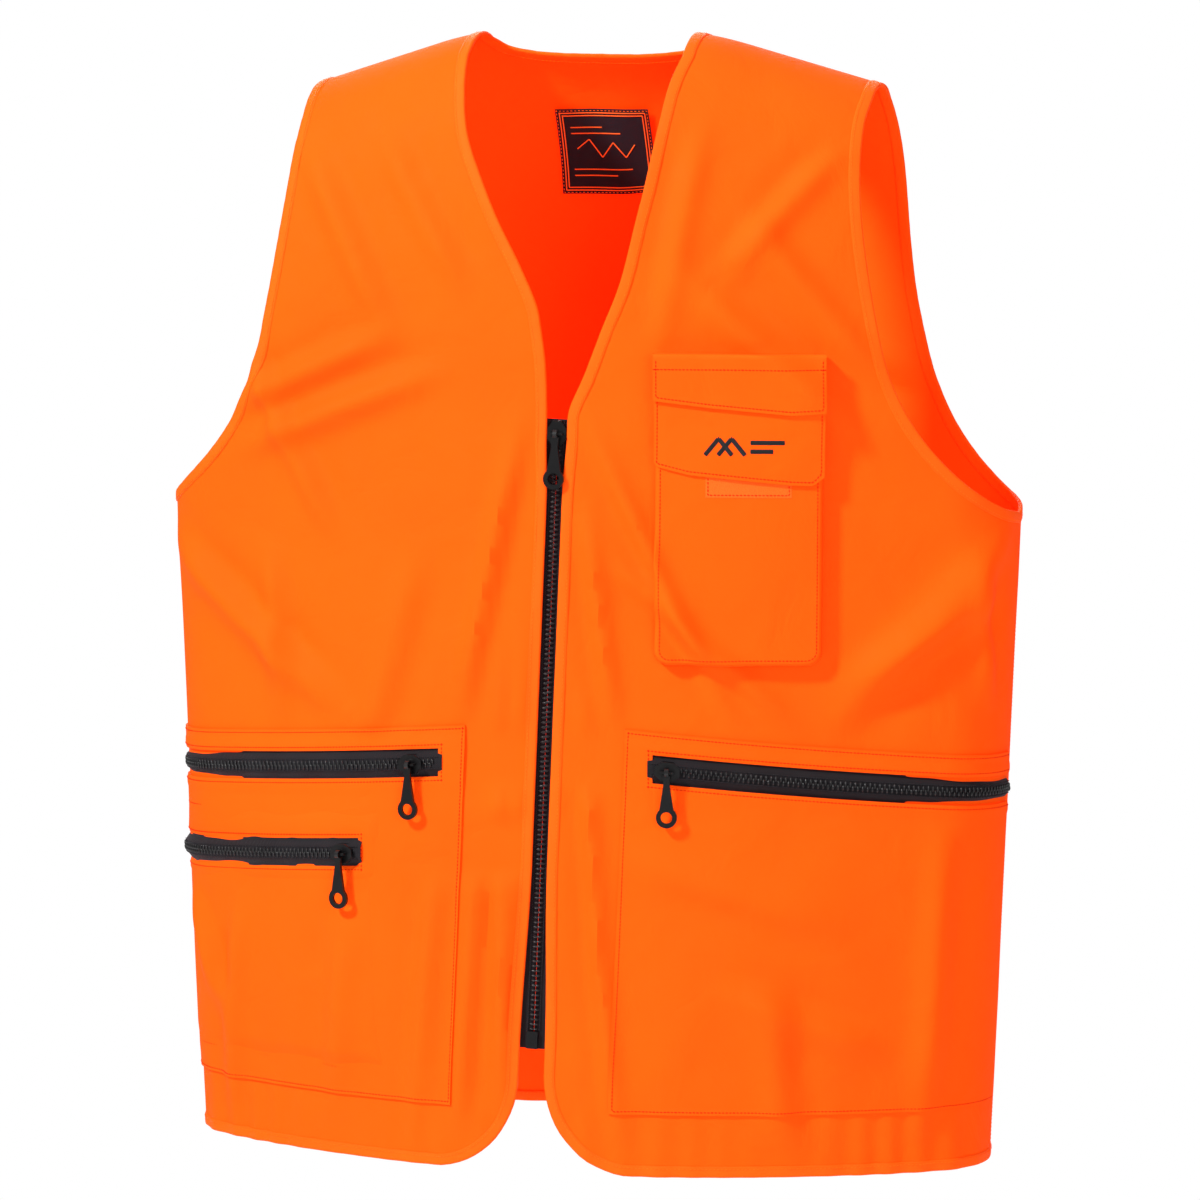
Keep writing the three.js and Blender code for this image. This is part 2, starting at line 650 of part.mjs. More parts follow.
function pouch() {
  const [a, b] = [CHEST_POCKET_LEFT, CHEST_POCKET_RIGHT];
  const [low, high] = [CHEST_POCKET_BOTTOM, POUCH_MOUTH];
  const face = GAP + POUCH_DEPTH;
  const wall = POUCH_WALL;
  const side1 = box(a, a + wall, low, high);
  const side2 = box(b - wall, b, low, high);
  const outside = { rise: face + wall, fall: GAP };
  return joined(
    cloth(fill(...box(a, b, low, high), 30), { rise: face + wall, fall: face }),
    cloth(fill(...side1, 30), outside),
    cloth(fill(...side2, 30), outside),
    cloth(fill(...box(a, b, low, low + wall), 30), outside),
  );
}

// ---- the vest -----------------------------------------------------------------------
const vest = new THREE.Group();
vest.name = 'blaze_orange_vest';

function add(name, geometry, color, roughness) {
  const mesh = new THREE.Mesh(geometry, finish(color, roughness));
  mesh.name = name;
  vest.add(mesh);
}

const fabric = (name, g) => add(name, g, CLOTH_COLOUR, 0.85);
const trim = (name, g) => add(name, g, BINDING_COLOUR, 0.6);
const tape = (name, g) => add(name, g, TAPE_COLOUR, 0.9);
const plastic = (name, g) => add(name, g, PLASTIC_COLOUR, 0.3);

fabric('back_panel', backPanel());
trim('back_neck_binding', binding(backNeckLine().reverse(), { back: true }));
const hemEnds = [[-side(HEM) + 1, HEM], [side(HEM) - 1, HEM]];
const backHem = stations(hemEnds, 40).map((k) => along(hemEnds, k));
trim('back_hem_binding', binding(backHem, { back: true }));
const labelGrid = fill(...box(-42, 20, -108, -52), 15);
const label = cloth(labelGrid, { back: true, rise: -CLOTH - 1.2, fall: -CLOTH - 2.1 });
add('neck_label', label, LABEL_COLOUR, 0.8);

for (const [s, hand] of [[1, 'left'], [-1, 'right']]) {
  const turn = (g) => (s > 0 ? g : mirrored(g));
  const addZip = (name, zip) => Object.entries(zip).forEach(([piece, g]) => (
    (piece === 'tape' ? tape : plastic)(`${name}_${piece}`, turn(g))));
  fabric(`front_${hand}_upper`, turn(upperPanel(s)));
  fabric(`front_${hand}_lower`, turn(lowerPanel(s)));
  trim(`neck_binding_${hand}`, turn(binding(neckLine(s))));
  const front = clipped(frontLine(s), SPLIT - 1.2, false);
  trim(`front_binding_${hand}`, turn(binding([...front, ...hemLine(s).slice(1)])));
  trim(`armhole_binding_front_${hand}`, turn(binding([...armholeUpper].reverse())));
  const low = clipped(armholeLower, SPLIT - 1.2, false).reverse();
  trim(`armhole_binding_lower_${hand}`, turn(binding(low)));
  trim(`armhole_binding_back_${hand}`, turn(binding([...ARMHOLE_BACK].reverse(), { back: true })));

  const pocketEdge = (v) => POCKET_EDGE + s * zipX(v);
  const start = pocketEdge(POCKET_ZIP) + POCKET_ZIP_START;
  const slot = [start - 1.3, POCKET_ZIP_END + 1.3];
  fabric(`pocket_${hand}`, turn(pocketFront(pocketEdge, POCKET_TOP, POCKET_ZIP, slot, POCKET_BOTTOM,
    POCKET_BASE, POCKET_THICK)));
  addZip(`pocket_${hand}_zip`, pocketZip(POCKET_ZIP, start, start + (s > 0 ? 10 : 18), POCKET_ZIP_END, 0));
}

const smallStart = SMALL_POCKET_EDGE + 22;
const smallSlot = [smallStart - 1.3, POCKET_ZIP_END + 1.3];
const onPocket = POCKET_BASE + POCKET_THICK;
fabric('small_pocket', mirrored(pocketFront(() => SMALL_POCKET_EDGE, SMALL_POCKET_TOP, SMALL_POCKET_ZIP,
  smallSlot, SMALL_POCKET_BOTTOM, onPocket + 0.6, SMALL_POCKET_THICK)));
const smallZip = pocketZip(SMALL_POCKET_ZIP, smallStart, smallStart + 10, POCKET_ZIP_END, onPocket);
for (const [name, g] of Object.entries(smallZip)) {
  (name === 'tape' ? tape : plastic)(`small_pocket_zip_${name}`, mirrored(g));
}

Object.entries(frontTapes).forEach(([name, g]) => tape(name, g));
Object.entries(frontZip).forEach(([name, g]) => plastic(name, g));
const sliderSeat = zipHead.clone().addScaledVector(zipUp, -SLIDER_REST);
plastic('zip_slider', placed(frontSlider.body, sliderSeat, zipOut, zipUp));
plastic('zip_pull', placed(frontPull, sliderSeat, zipOut, zipUp));

fabric('chest_pouch', pouch());
const faceOfPouch = GAP + POUCH_DEPTH + POUCH_WALL;
add('hook_patch', cloth(fill(...box(98, 151, -289, -264), 14), { rise: faceOfPouch + 1.1,
  fall: faceOfPouch + 0.5 }), 0xe8621a, 0.95);
const lowerFoot = [[66, -268], [88, -274], [164, -281], [171, -276]];
const lowerLid = flap(lowerFoot, faceOfPouch + 1.6, faceOfPouch + 3);
fabric('chest_flap_lower', joined(lowerLid, flapWeb(faceOfPouch + 3)));
const upperFoot = [[66, -229], [150, -237], [171, -236]];
fabric('chest_flap_upper', flap(upperFoot, faceOfPouch + 3.5, faceOfPouch + 4.9));

export default vest;
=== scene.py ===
"""Blaze orange zip-front field vest: the visual model, in the same frame as the solids.

Lengths in the code are millimetres and become metres only when a mesh is made. The body of
the vest is described by two numbers, as the solids are: `t` runs round the body from the
centre of the front or back, and `v` is the level below the neck.
"""

import json
import logging
import math
from dataclasses import dataclass, field
from enum import Enum
from typing import Callable, ClassVar, Optional, Sequence

import bpy
import numpy as np
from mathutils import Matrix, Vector

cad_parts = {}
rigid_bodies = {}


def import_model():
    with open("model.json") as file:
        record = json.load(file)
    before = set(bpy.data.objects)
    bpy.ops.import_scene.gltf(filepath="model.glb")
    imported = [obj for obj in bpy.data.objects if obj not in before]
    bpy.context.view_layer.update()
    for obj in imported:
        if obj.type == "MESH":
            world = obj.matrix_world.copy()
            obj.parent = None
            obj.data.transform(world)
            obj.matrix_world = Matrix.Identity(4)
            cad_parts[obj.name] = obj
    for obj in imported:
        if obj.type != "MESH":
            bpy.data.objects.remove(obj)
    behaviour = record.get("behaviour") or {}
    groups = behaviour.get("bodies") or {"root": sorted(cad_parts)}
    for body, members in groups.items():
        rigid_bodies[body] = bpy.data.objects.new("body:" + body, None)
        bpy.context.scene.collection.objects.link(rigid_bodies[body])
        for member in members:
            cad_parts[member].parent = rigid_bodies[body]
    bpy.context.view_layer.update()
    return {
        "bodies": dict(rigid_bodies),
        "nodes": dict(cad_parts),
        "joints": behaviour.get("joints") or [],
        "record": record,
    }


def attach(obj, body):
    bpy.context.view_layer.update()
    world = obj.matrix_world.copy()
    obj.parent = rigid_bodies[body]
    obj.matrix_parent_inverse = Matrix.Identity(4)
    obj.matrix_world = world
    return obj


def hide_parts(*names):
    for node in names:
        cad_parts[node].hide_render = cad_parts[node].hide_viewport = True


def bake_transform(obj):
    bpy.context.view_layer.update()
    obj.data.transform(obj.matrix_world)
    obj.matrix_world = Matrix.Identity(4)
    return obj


logging.basicConfig(level=logging.INFO, format="%(name)s: %(message)s")
LOG = logging.getLogger("vest")

MM = 0.001
Array = np.ndarray
Path = list[tuple[float, float]]


class Face(Enum):
    """Which half of the body a piece lies on."""

    FRONT = "front"
    BACK = "back"


class Hand(Enum):
    """The wearer's left or right."""

    LEFT = 1
    RIGHT = -1

    @property
    def word(self) -> str:
        """The name used in pieces and nodes."""
        return self.name.lower()


class Held(Enum):
    """How a sheet of cloth is held."""

    HUNG = "hung"
    LAID = "laid"
    STRETCHED = "stretched"


# ---- the shape of the body ---------------------------------------------------------------
@dataclass(frozen=True)
class Torso:
    """The smooth body that the cloth lies on, the same as the solids' body."""

    length: float = 720.0
    chest_half_width: float = 279.0
    hem_half_width: float = 262.0
    chest_half_depth: float = 100.0
    hem_half_depth: float = 114.0
    side_radius: float = 55.0
    roll_level: float = -225.0
    underarm: float = -303.0
    slope: float = 0.3
    shoulder: float = -0.00001

    @property
    def hem(self) -> float:
        """Level of the hem."""
        return -self.length

    def _section(self, v: Array) -> tuple[Array, Array, Array, Array]:
        """The four arcs of the body's outline at each level.

        Args:
            v: the levels.

        Returns:
            Where the side arc is centred, where the front arc is centred, the turn at which
            they meet, and the front arc's radius.
        """
        k = np.clip((v - self.hem) / (self.underarm - self.hem), 0, 1)
        w = self.hem_half_width + (self.chest_half_width - self.hem_half_width) * k - self.side_radius
        k = np.clip((v - self.hem) / (self.roll_level - self.hem), 0, 1)
        d = self.hem_half_depth + (self.chest_half_depth - self.hem_half_depth) * k - self.side_radius
        centre = (w * w - d * d) / (2 * d)
        return w, centre, np.arctan2(w, centre), d + self.side_radius + centre

    def quarter(self, v: float) -> float:
        """Length round the body from the centre to the side seam.

        Args:
            v: the level.

        Returns:
            The length.
        """
        return float(self.quarters(np.array(float(v))))

    def quarters(self, v: Array) -> Array:
        """The same length at many levels.

        Args:
            v: the levels.

        Returns:
            A length for each level.
        """
        _, _, angle, radius = self._section(np.asarray(v, float))
        return radius * angle + self.side_radius * (math.pi / 2 - angle)

    def points(self, t: Array, v: Array, face: Face) -> Array:
        """Points of the outer cloth.

        Args:
            t: distances round the body from the centre.
            v: levels.
            face: the half of the body.

        Returns:
            One row of x, y, z for each point.
        """
        t, v = np.asarray(t, float), np.asarray(v, float)
        w, centre, angle, radius = self._section(v)
        a = np.abs(t)
        turn = np.minimum(a, radius * angle) / radius
        past = angle + np.maximum(a - radius * angle, 0) / self.side_radius
        big = a <= radius * angle
        x = np.where(big, radius * np.sin(turn), w + self.side_radius * np.sin(past))
        y = np.where(big, centre - radius * np.cos(turn), -self.side_radius * np.cos(past))
        y = y if face is Face.FRONT else -y
        k = np.clip((v - self.roll_level) / -self.roll_level, 0, 1)
        y = y * np.sqrt(np.maximum(1 - k**3, 0)) + (-12 + 0.2 * np.maximum(x - 40, 0)) * k * k
        bend = np.clip(x - 40, 0, 60)
        drop = self.slope * (bend**2 / 120 + np.maximum(x - 100, 0))
        return np.stack([np.sign(t) * x, y, v - drop * k * k], -1)

    def normals(self, t: Array, v: Array, face: Face) -> Array:
        """Outward directions of the outer cloth.

        Args:
            t: distances round the body.
            v: levels.
            face: the half of the body.

        Returns:
            One unit row for each point.
        """
        w = np.minimum(v, -3.0)
        across = self.points(t + 0.5, w, face) - self.points(t - 0.5, w, face)
        down = self.points(t, w - 0.5, face) - self.points(t, w + 0.5, face)
        n = np.cross(down, across) * (1 if face is Face.FRONT else -1)
        n /= np.linalg.norm(n, axis=-1, keepdims=True)
        # On the fold of the shoulder both halves turn to face straight up.
        up = np.stack([-across[..., 2], np.zeros_like(w), across[..., 0]], -1)
        up /= np.linalg.norm(up, axis=-1, keepdims=True)
        k = np.clip(-np.asarray(v, float) / 3.0, 0, 1)[..., None]
        n = n * k + up * (1 - k)
        return n / np.linalg.norm(n, axis=-1, keepdims=True)

    def at(self, t: Array, v: Array, n: Array, face: Face) -> Array:
        """Points a set height above the cloth.

        Args:
            t: distances round the body.
            v: levels.
            n: heights above the outer cloth.
            face: the half of the body.

        Returns:
            One row for each point.
        """
        t, v = np.broadcast_arrays(np.asarray(t, float), np.asarray(v, float))
        return self.points(t, v, face) + self.normals(t, v, face) * np.asarray(n)[..., None]

    def stretch(self, v: float) -> float:
        """How much cloth there is to one unit of level.

        Args:
            v: the level.

        Returns:
            One below the roll of the shoulder, more above it.
        """
        w = min(v, -1.0)
        ends = self.points(np.zeros(2), np.array([w - 0.5, w + 0.5]), Face.FRONT)
        return float(np.linalg.norm(ends[1] - ends[0]))


TORSO = Torso()
CLOTH = 2.0
BINDING = 7.6
EDGE = 6.6
SEAM = 0.03
PANEL = 1.4
THREAD_RISE = 0.85
THREAD_INSET = BINDING - 1.9
ZIP_TOP, ZIP_BOTTOM = -242.0, -641.0
ZIP_START, ZIP_DRIFT = 3.0, -14.0
POCKET_ZIP, SMALL_ZIP = -455.0, -511.0
SPLIT = -186.0
UNDERARM = -303.0
TILT = 0.085


def zip_x(v: Array) -> Array:
    """Sideways place of the front zip's centre line.

    Args:
        v: levels.

    Returns:
        The place at each level, towards the wearer's left.
    """
    return ZIP_START + ZIP_DRIFT * (v - ZIP_TOP) / (ZIP_BOTTOM - ZIP_TOP)


def smoothstep(a: float, b: float, x: Array) -> Array:
    """A smooth step.

    Args:
        a: where it starts to leave zero.
        b: where it reaches one.
        x: the places asked about.

    Returns:
        A number from 0 to 1 for each place.
    """
    k = np.clip((np.asarray(x, float) - a) / (b - a), 0, 1)
    return k * k * (3 - 2 * k)


# ---- folds -------------------------------------------------------------------------------
@dataclass(frozen=True)
class Fold:
    """A soft ridge of cloth between two places."""

    start: tuple[float, float]
    end: tuple[float, float]
    width: float
    height: float

    def lift(self, t: Array, v: Array) -> Array:
        """Height of the ridge.

        Args:
            t: distances round the body.
            v: levels.

        Returns:
            A height for each place, with a shallow furrow along one side.
        """
        ax, ay = self.start
        dx, dy = self.end[0] - ax, self.end[1] - ay
        length = math.hypot(dx, dy)
        along = ((t - ax) * dx + (v - ay) * dy) / length
        off = ((t - ax) * dy - (v - ay) * dx) / length * 1.3
        along /= length
        ends = smoothstep(-0.15, 0.3, along) * (1 - smoothstep(0.7, 1.15, along))
        across = off / self.width
        crease = np.exp(-across**2) - 0.35 * np.exp(-((across - 1.3) ** 2))
        return 2.6 * self.height * ends * crease


@dataclass(frozen=True)
class Drape:
    """All the folds of one panel; every piece sewn to the panel follows them."""

    folds: tuple[Fold, ...] = ()
    ripple: float = 0.5

    def lift(self, t: Array, v: Array) -> Array:
        """Height of the cloth above the smooth body.

        Args:
            t: distances round the body.
            v: levels.

        Returns:
            A height for each place.
        """
        t, v = np.broadcast_arrays(np.asarray(t, float), np.asarray(v, float))
        out = sum((f.lift(t, v) for f in self.folds), np.zeros(t.shape))
        hem = smoothstep(-672, -690, v) * (0.6 + 0.4 * np.sin(t / 29))
        out = out + hem * 1.7 * self.ripple * np.sin(t / 3.4 + 0.8 * np.sin(t / 17))
        slow = np.sin(t / 31 + 1.3 * np.sin(v / 57)) * np.sin(v / 43 + 0.7 * np.sin(t / 39))
        out = out + self.ripple * slow
        return out + 0.3 * self.ripple * np.sin(t / 13 + v / 29) * np.sin(v / 17 - t / 23)


DRAPES: dict[str, Drape] = {
    "left": Drape((
        Fold((26, -250), (110, -420), 9, 2.6), Fold((40, -330), (150, -430), 10, 2.2),
        Fold((22, -300), (40, -430), 9, 2.6), Fold((20, -420), (34, -600), 8, 2.4),
        Fold((30, -560), (44, -690), 9, 2.0), Fold((190, -250), (80, -150), 16, 2.6),
        Fold((205, -215), (120, -110), 14, 2.0), Fold((180, -430), (300, -310), 19, 3.2),
        Fold((190, -405), (300, -345), 14, 1.8), Fold((240, -690), (250, -500), 14, 2.4),
        Fold((150, -700), (140, -600), 16, 2.0), Fold((175, -60), (110, -150), 12, 2.2),
        Fold((90, -60), (70, -190), 12, 1.8), Fold((210, -640), (110, -600), 14, 1.8),
        Fold((280, -420), (270, -330), 12, 2.4), Fold((60, -520), (180, -560), 16, 1.6),
    )),
    "right": Drape((
        Fold((215, -265), (80, -215), 13, 3.2), Fold((225, -240), (110, -190), 12, 2.4),
        Fold((215, -205), (150, -320), 12, 2.4), Fold((22, -250), (60, -430), 10, 2.8),
        Fold((285, -330), (150, -430), 15, 3.0), Fold((16, -380), (26, -640), 8, 2.6),
        Fold((34, -400), (30, -690), 8, 2.2), Fold((46, -500), (60, -700), 9, 2.2),
        Fold((240, -700), (225, -560), 13, 2.4), Fold((275, -560), (240, -640), 12, 2.2),
        Fold((175, -60), (110, -190), 14, 2.6), Fold((90, -690), (76, -520), 11, 1.8),
        Fold((120, -60), (60, -160), 13, 2.0), Fold((90, -330), (130, -470), 16, 2.0),
        Fold((150, -690), (140, -560), 15, 1.8), Fold((200, -330), (190, -440), 14, 2.0),
    )),
    "back": Drape((
        Fold((-150, -120), (-60, -420), 22, 3.2), Fold((150, -130), (70, -400), 22, 3.2),
        Fold((-230, -330), (-120, -520), 18, 3.6), Fold((230, -340), (110, -560), 18, 3.4),
        Fold((-40, -700), (-60, -450), 18, 3.0), Fold((90, -710), (120, -520), 18, 2.8),
        Fold((20, -60), (10, -300), 20, 2.0), Fold((200, -700), (190, -560), 16, 2.4),
        Fold((-190, -700), (-170, -540), 16, 2.4), Fold((-200, -230), (-90, -180), 16, 2.4),
        Fold((205, -240), (80, -200), 16, 2.2),
    ), 0.9),
}


def calm(hand: Hand, t: Array, v: Array) -> Array:
    """Folds fade to nothing beside the front zip, the pocket zips and the shoulder seam.

    Args:
        hand: which front.
        t: distances round the body.
        v: levels.

    Returns:
        The share of the folds that is left at each place.
    """
    by_zip = smoothstep(4, 22, np.abs(t) - hand.value * zip_x(np.asarray(v)))
    by_pocket = smoothstep(10, 34, np.abs(v - POCKET_ZIP + TILT * np.abs(t)))
    if hand is Hand.RIGHT:
        by_pocket = by_pocket * smoothstep(10, 30, np.abs(v - SMALL_ZIP + TILT * np.abs(t)))
    return by_zip * by_pocket * smoothstep(-2, -40, v)


def lifted(face: Face, hand: Optional[Hand] = None) -> Callable[[Array, Array], Array]:
    """The height of the folded cloth as a function of place.

    Args:
        face: the half of the body.
        hand: which front, when it is the front.

    Returns:
        The function of t and v.
    """
    by_side = lambda t, v: smoothstep(1, 32, TORSO.quarters(v) - np.abs(t))
    if face is Face.BACK:
        return lambda t, v: DRAPES["back"].lift(t, v) * smoothstep(-2, -40, v) * by_side(t, v)
    drape = DRAPES[hand.word]
    return lambda t, v: drape.lift(np.abs(t), v) * calm(hand, t, v) * by_side(t, v)


# ---- edge lines --------------------------------------------------------------------------
def smooth_path(points: Sequence[tuple[float, float]], step: float = 3.0) -> Path:
    """A centripetal curve through points, sampled evenly.

    Args:
        points: places the curve passes.
        step: distance between samples.

    Returns:
        The sampled places.
    """
    p = [np.array(q, float) for q in points]
    p = [2 * p[0] - p[1], *p, 2 * p[-1] - p[-2]]
    out: list[Array] = []
    for a, b, c, d in zip(p, p[1:], p[2:], p[3:]):
        k0, k1 = 0.0, np.linalg.norm(b - a) ** 0.5
        k2 = k1 + np.linalg.norm(c - b) ** 0.5
        k3 = k2 + np.linalg.norm(d - c) ** 0.5
        for k in np.linspace(k1, k2, 20, endpoint=False):
            ab = a * (k1 - k) / (k1 - k0) + b * (k - k0) / (k1 - k0)
            bc = b * (k2 - k) / (k2 - k1) + c * (k - k1) / (k2 - k1)
            cd = c * (k3 - k) / (k3 - k2) + d * (k - k2) / (k3 - k2)
            abc = ab * (k2 - k) / (k2 - k0) + bc * (k - k0) / (k2 - k0)
            bcd = bc * (k3 - k) / (k3 - k1) + cd * (k - k1) / (k3 - k1)
            out.append(abc * (k2 - k) / (k2 - k1) + bcd * (k - k1) / (k2 - k1))
    out.append(p[-2])
    return resample([tuple(q) for q in out], step)


def run_length(points: Array) -> Array:
    """Distance along a line of points.

    Args:
        points: one row for each point.

    Returns:
        The distance of each point from the first.
    """
    return np.concatenate([[0], np.cumsum(np.linalg.norm(np.diff(points, axis=0), axis=1))])


def resample(path: Path, step: float) -> Path:
    """The same line with even spacing.

    Args:
        path: places along the line.
        step: wanted distance between places.

    Returns:
        Places with both ends kept.
    """
    p = np.array(path, float)
    run = run_length(p)
    count = max(2, int(round(run[-1] / step)) + 1)
    want = np.linspace(0, run[-1], count)
    return list(zip(np.interp(want, run, p[:, 0]), np.interp(want, run, p[:, 1])))


def beside(path: Path, d: float) -> Path:
    """The line a set distance to the left of a path, measured on the cloth.

    Args:
        path: the line.
        d: the distance; below zero it is to the right.

    Returns:
        A place beside each place of the path.
    """
    out: Path = []
    for i, p in enumerate(path):
        a, b = path[max(i - 1, 0)], path[min(i + 1, len(path) - 1)]
        grow = TORSO.stretch(p[1])
        rise = (b[1] - a[1]) * grow
        length = math.hypot(b[0] - a[0], rise) or 1.0
        level = p[1] + (b[0] - a[0]) / length * d / grow
        out.append((p[0] - rise / length * d, min(level, TORSO.shoulder)))
    return out


def split(path: Path, level: float) -> tuple[Path, Path]:
    """Parts a downward line at a level.

    Args:
        path: the line.
        level: the level, which it crosses.

    Returns:
        The upper and the lower part, which share the place at the level.
    """
    high, low = [p for p in path if p[1] > level], [p for p in path if p[1] <= level]
    (t0, v0), (t1, v1) = high[-1], low[0]
    place = (t0 + (t1 - t0) * (v0 - level) / (v0 - v1), level)
    return high + [place], [place] + [p for p in low if p[1] < level]


def over_shoulder(path: Path) -> Path:
    """Adds close rows that carry a downward line up over the shoulder's tight bend.

    Args:
        path: a line that starts below the shoulder.

    Returns:
        The line from the shoulder seam down.
    """
    top = [-13 * (k / 14) ** 2 + TORSO.shoulder for k in range(14)]
    return [(path[0][0], v) for v in top] + [p for p in path if p[1] < -13.5]


NECK = {
    Hand.LEFT: [(70, -14), (66, -32), (63, -55), (57, -94), (52.5, -115), (42.5, -157), (31, SPLIT)],
    Hand.RIGHT: [(70, -14), (67, -34), (61, -63), (47.5, -95), (36, -119), (21.5, -146), (10, -172),
                 (7.4, SPLIT)],
}
BEND = {Hand.LEFT: [(20.2, -214), (10.2, -237)], Hand.RIGHT: [(4.6, -208)]}


def neck_line(hand: Hand) -> Path:
    """The V neck from the shoulder to where the front edge starts.

    Args:
        hand: which front.

    Returns:
        The line, downwards.
    """
    return over_shoulder(smooth_path(NECK[hand]))


def half_gap(v: float) -> float:
    """Half the space between the front edges, where the zip shows.

    Args:
        v: the level.

    Returns:
        The distance from the zip's centre line to an edge.
    """
    return 4.9 + 1.6 * math.exp(-(((v + 254) / 20) ** 2)) + 3.4 * float(smoothstep(-520, -645, v))


def front_line(hand: Hand) -> Path:
    """Neck, front edge, rounded corner and hem of one front, as one line.

    Args:
        hand: which front.

    Returns:
        The line, from the shoulder to the side seam.
    """
    s = hand.value
    neck = neck_line(hand)
    edge = lambda v: half_gap(v) + s * zip_x(v)
    foot = TORSO.hem + 62
    corner = [(edge(foot) + 58 * (1 - math.cos(a)), foot - 62 * math.sin(a))
              for a in np.radians(np.arange(6, 91, 6))]
    straight = resample([(edge(v), v) for v in np.linspace(-250, foot, 90)], 4)
    bend = smooth_path([neck[-2], neck[-1], *BEND[hand], straight[0], straight[1]], 3)
    bend = [p for p in bend if SPLIT - 1 > p[1] > -249]
    side = TORSO.quarter(TORSO.hem) - SEAM
    hem = resample([corner[-1], (side, TORSO.hem)], 4)[1:]
    return neck + bend + straight + corner + hem


ARM_FRONT = over_shoulder(smooth_path([
    (188, -14), (187, -32), (188, -65), (191, -100), (196, -137), (202, -172), (211, -212), (224, -240),
    (242, -264), (264, -284), (290, -298), (TORSO.quarter(UNDERARM) - SEAM, UNDERARM)]))
ARM_BACK = over_shoulder(smooth_path([
    (188, -14), (192, -60), (197, -130), (204, -180), (217, -225), (238, -260), (268, -287),
    (TORSO.quarter(UNDERARM) - SEAM, UNDERARM)]))


def back_neck() -> Path:
    """Half of the back neck.

    Returns:
        The line from its middle to the shoulder seam, with close rows over the shoulder's bend.
    """
    scoop = smooth_path([(0, -17), (28, -16.5), (50, -14.5), (64, -10), (70, -4)], 3)
    return scoop + [(70, v) for v in (-3, -2, -1.2, -0.6, -0.25, -0.08, -0.02, TORSO.shoulder)]


def side_seam(base: float) -> Path:
    """The side seam of a panel, from just below the armhole's binding.

    Args:
        base: the level where it ends.

    Returns:
        The line, downwards.
    """
    return [(TORSO.quarter(v) - SEAM, v) for v in np.linspace(UNDERARM - EDGE, base, 60)]


# ---- meshes ------------------------------------------------------------------------------
@dataclass
class Sheet:
    """A surface given as places on the body, made into a closed shell of cloth."""

    name: str
    face: Face
    places: list[tuple[float, float]] = field(default_factory=list)
    quads: list[tuple[int, ...]] = field(default_factory=list)
    _known: dict[tuple[float, float], int] = field(default_factory=dict)

    def _id(self, place: tuple[float, float]) -> int:
        """The number of a place, which is added if it is new.

        Args:
            place: its t and v.

        Returns:
            The number.
        """
        key = (round(place[0], 5), round(place[1], 5))
        if key not in self._known:
            self._known[key] = len(self.places)
            self.places.append((float(place[0]), float(place[1])))
        return self._known[key]

    def add(self, grid: Array, skip: Callable[[int, int], bool] = lambda i, j: False) -> None:
        """Adds a grid of places; rows run down.

        Args:
            grid: rows by columns by (t, v).
            skip: says which cells are left open.
        """
        ids = [[self._id(p) for p in row] for row in grid.tolist()]
        for i in range(len(ids) - 1):
            for j in range(len(ids[0]) - 1):
                if not skip(i, j):
                    quad = (ids[i][j], ids[i + 1][j], ids[i + 1][j + 1], ids[i][j + 1])
                    if len(set(quad)) == 4:
                        self.quads.append(quad)

    def build(self, outer: Callable[[Array, Array], Array], inner: Callable[[Array, Array], Array],
              sign: float = 1.0) -> bpy.types.Object:
        """Makes the shell.

        Args:
            outer: height of the outer face at each place.
            inner: height of the inner face.
            sign: 1 when t grows to the wearer's left, -1 to mirror the sheet.

        Returns:
            The new object, with a map in metres of cloth.
        """
        tv = np.array(self.places)
        t, v = tv[:, 0], tv[:, 1]
        faces = [outer(t, v), inner(t, v)]
        layers = [TORSO.at(t, v, np.broadcast_to(h, t.shape), self.face) for h in faces]
        points = np.concatenate(layers)
        points[:, 0] *= sign
        polys = shell(self.quads, len(t))
        if (self.face is Face.BACK) != (sign < 0):
            polys = [tuple(reversed(q)) for q in polys]
        uv = np.concatenate([np.stack([t, cloth_length(v)], -1)] * 2) * MM
        return mesh_object(self.name, points, polys, uv)

    def declare(self, obj: bpy.types.Object, held: Held, rests_on: Sequence[bpy.types.Object] = (),
                carries: Sequence[bpy.types.Object] = (), strip: Optional[float] = None) -> None:
        """Works out the size that the cloth was cut to, but keeps none of it.

        Args:
            obj: the shell made from this sheet; not used.
            held: how the cloth is held; not used.
            rests_on: what it hangs from or lies on; not used.
            carries: bindings and stitches that are sewn to it; not used.
            strip: the width of a strip that was cut straight but lies at a slant.
        """
        tv = np.array(self.places)
        cut = np.stack([tv[:, 0], cloth_length(tv[:, 1])], -1) * MM
        width, length = np.ptp(cut, axis=0).tolist()
        if strip:
            width, length = strip * MM, width
        x, y = cut[np.array(self.quads)].transpose(2, 0, 1)


def shell(quads: Sequence[tuple[int, ...]], count: int) -> list[tuple[int, ...]]:
    """Faces of a closed shell: an outer layer, an inner layer and the rim between them.

    Args:
        quads: the faces of the outer layer.
        count: how many points a layer has; the inner layer's come after the outer one's.

    Returns:
        All the faces, pointing out.
    """
    polys = [face for q in quads for face in (q, tuple(count + k for k in reversed(q)))]
    edges = dict.fromkeys((a, b) for q in quads for a, b in zip(q, q[1:] + q[:1]))
    return polys + [(b, a, count + a, count + b) for a, b in edges if (b, a) not in edges]


LEVELS = np.linspace(0, -760, 1521)
CENTRE_RUN = run_length(TORSO.points(np.zeros(LEVELS.shape), np.minimum(LEVELS, -0.02), Face.FRONT))


def cloth_length(v: Array) -> Array:
    """Length of cloth from the shoulder seam down to a level.

    Args:
        v: levels.

    Returns:
        The length for each level, as a negative number.
    """
    return -np.interp(-np.asarray(v, float), -LEVELS, CENTRE_RUN)


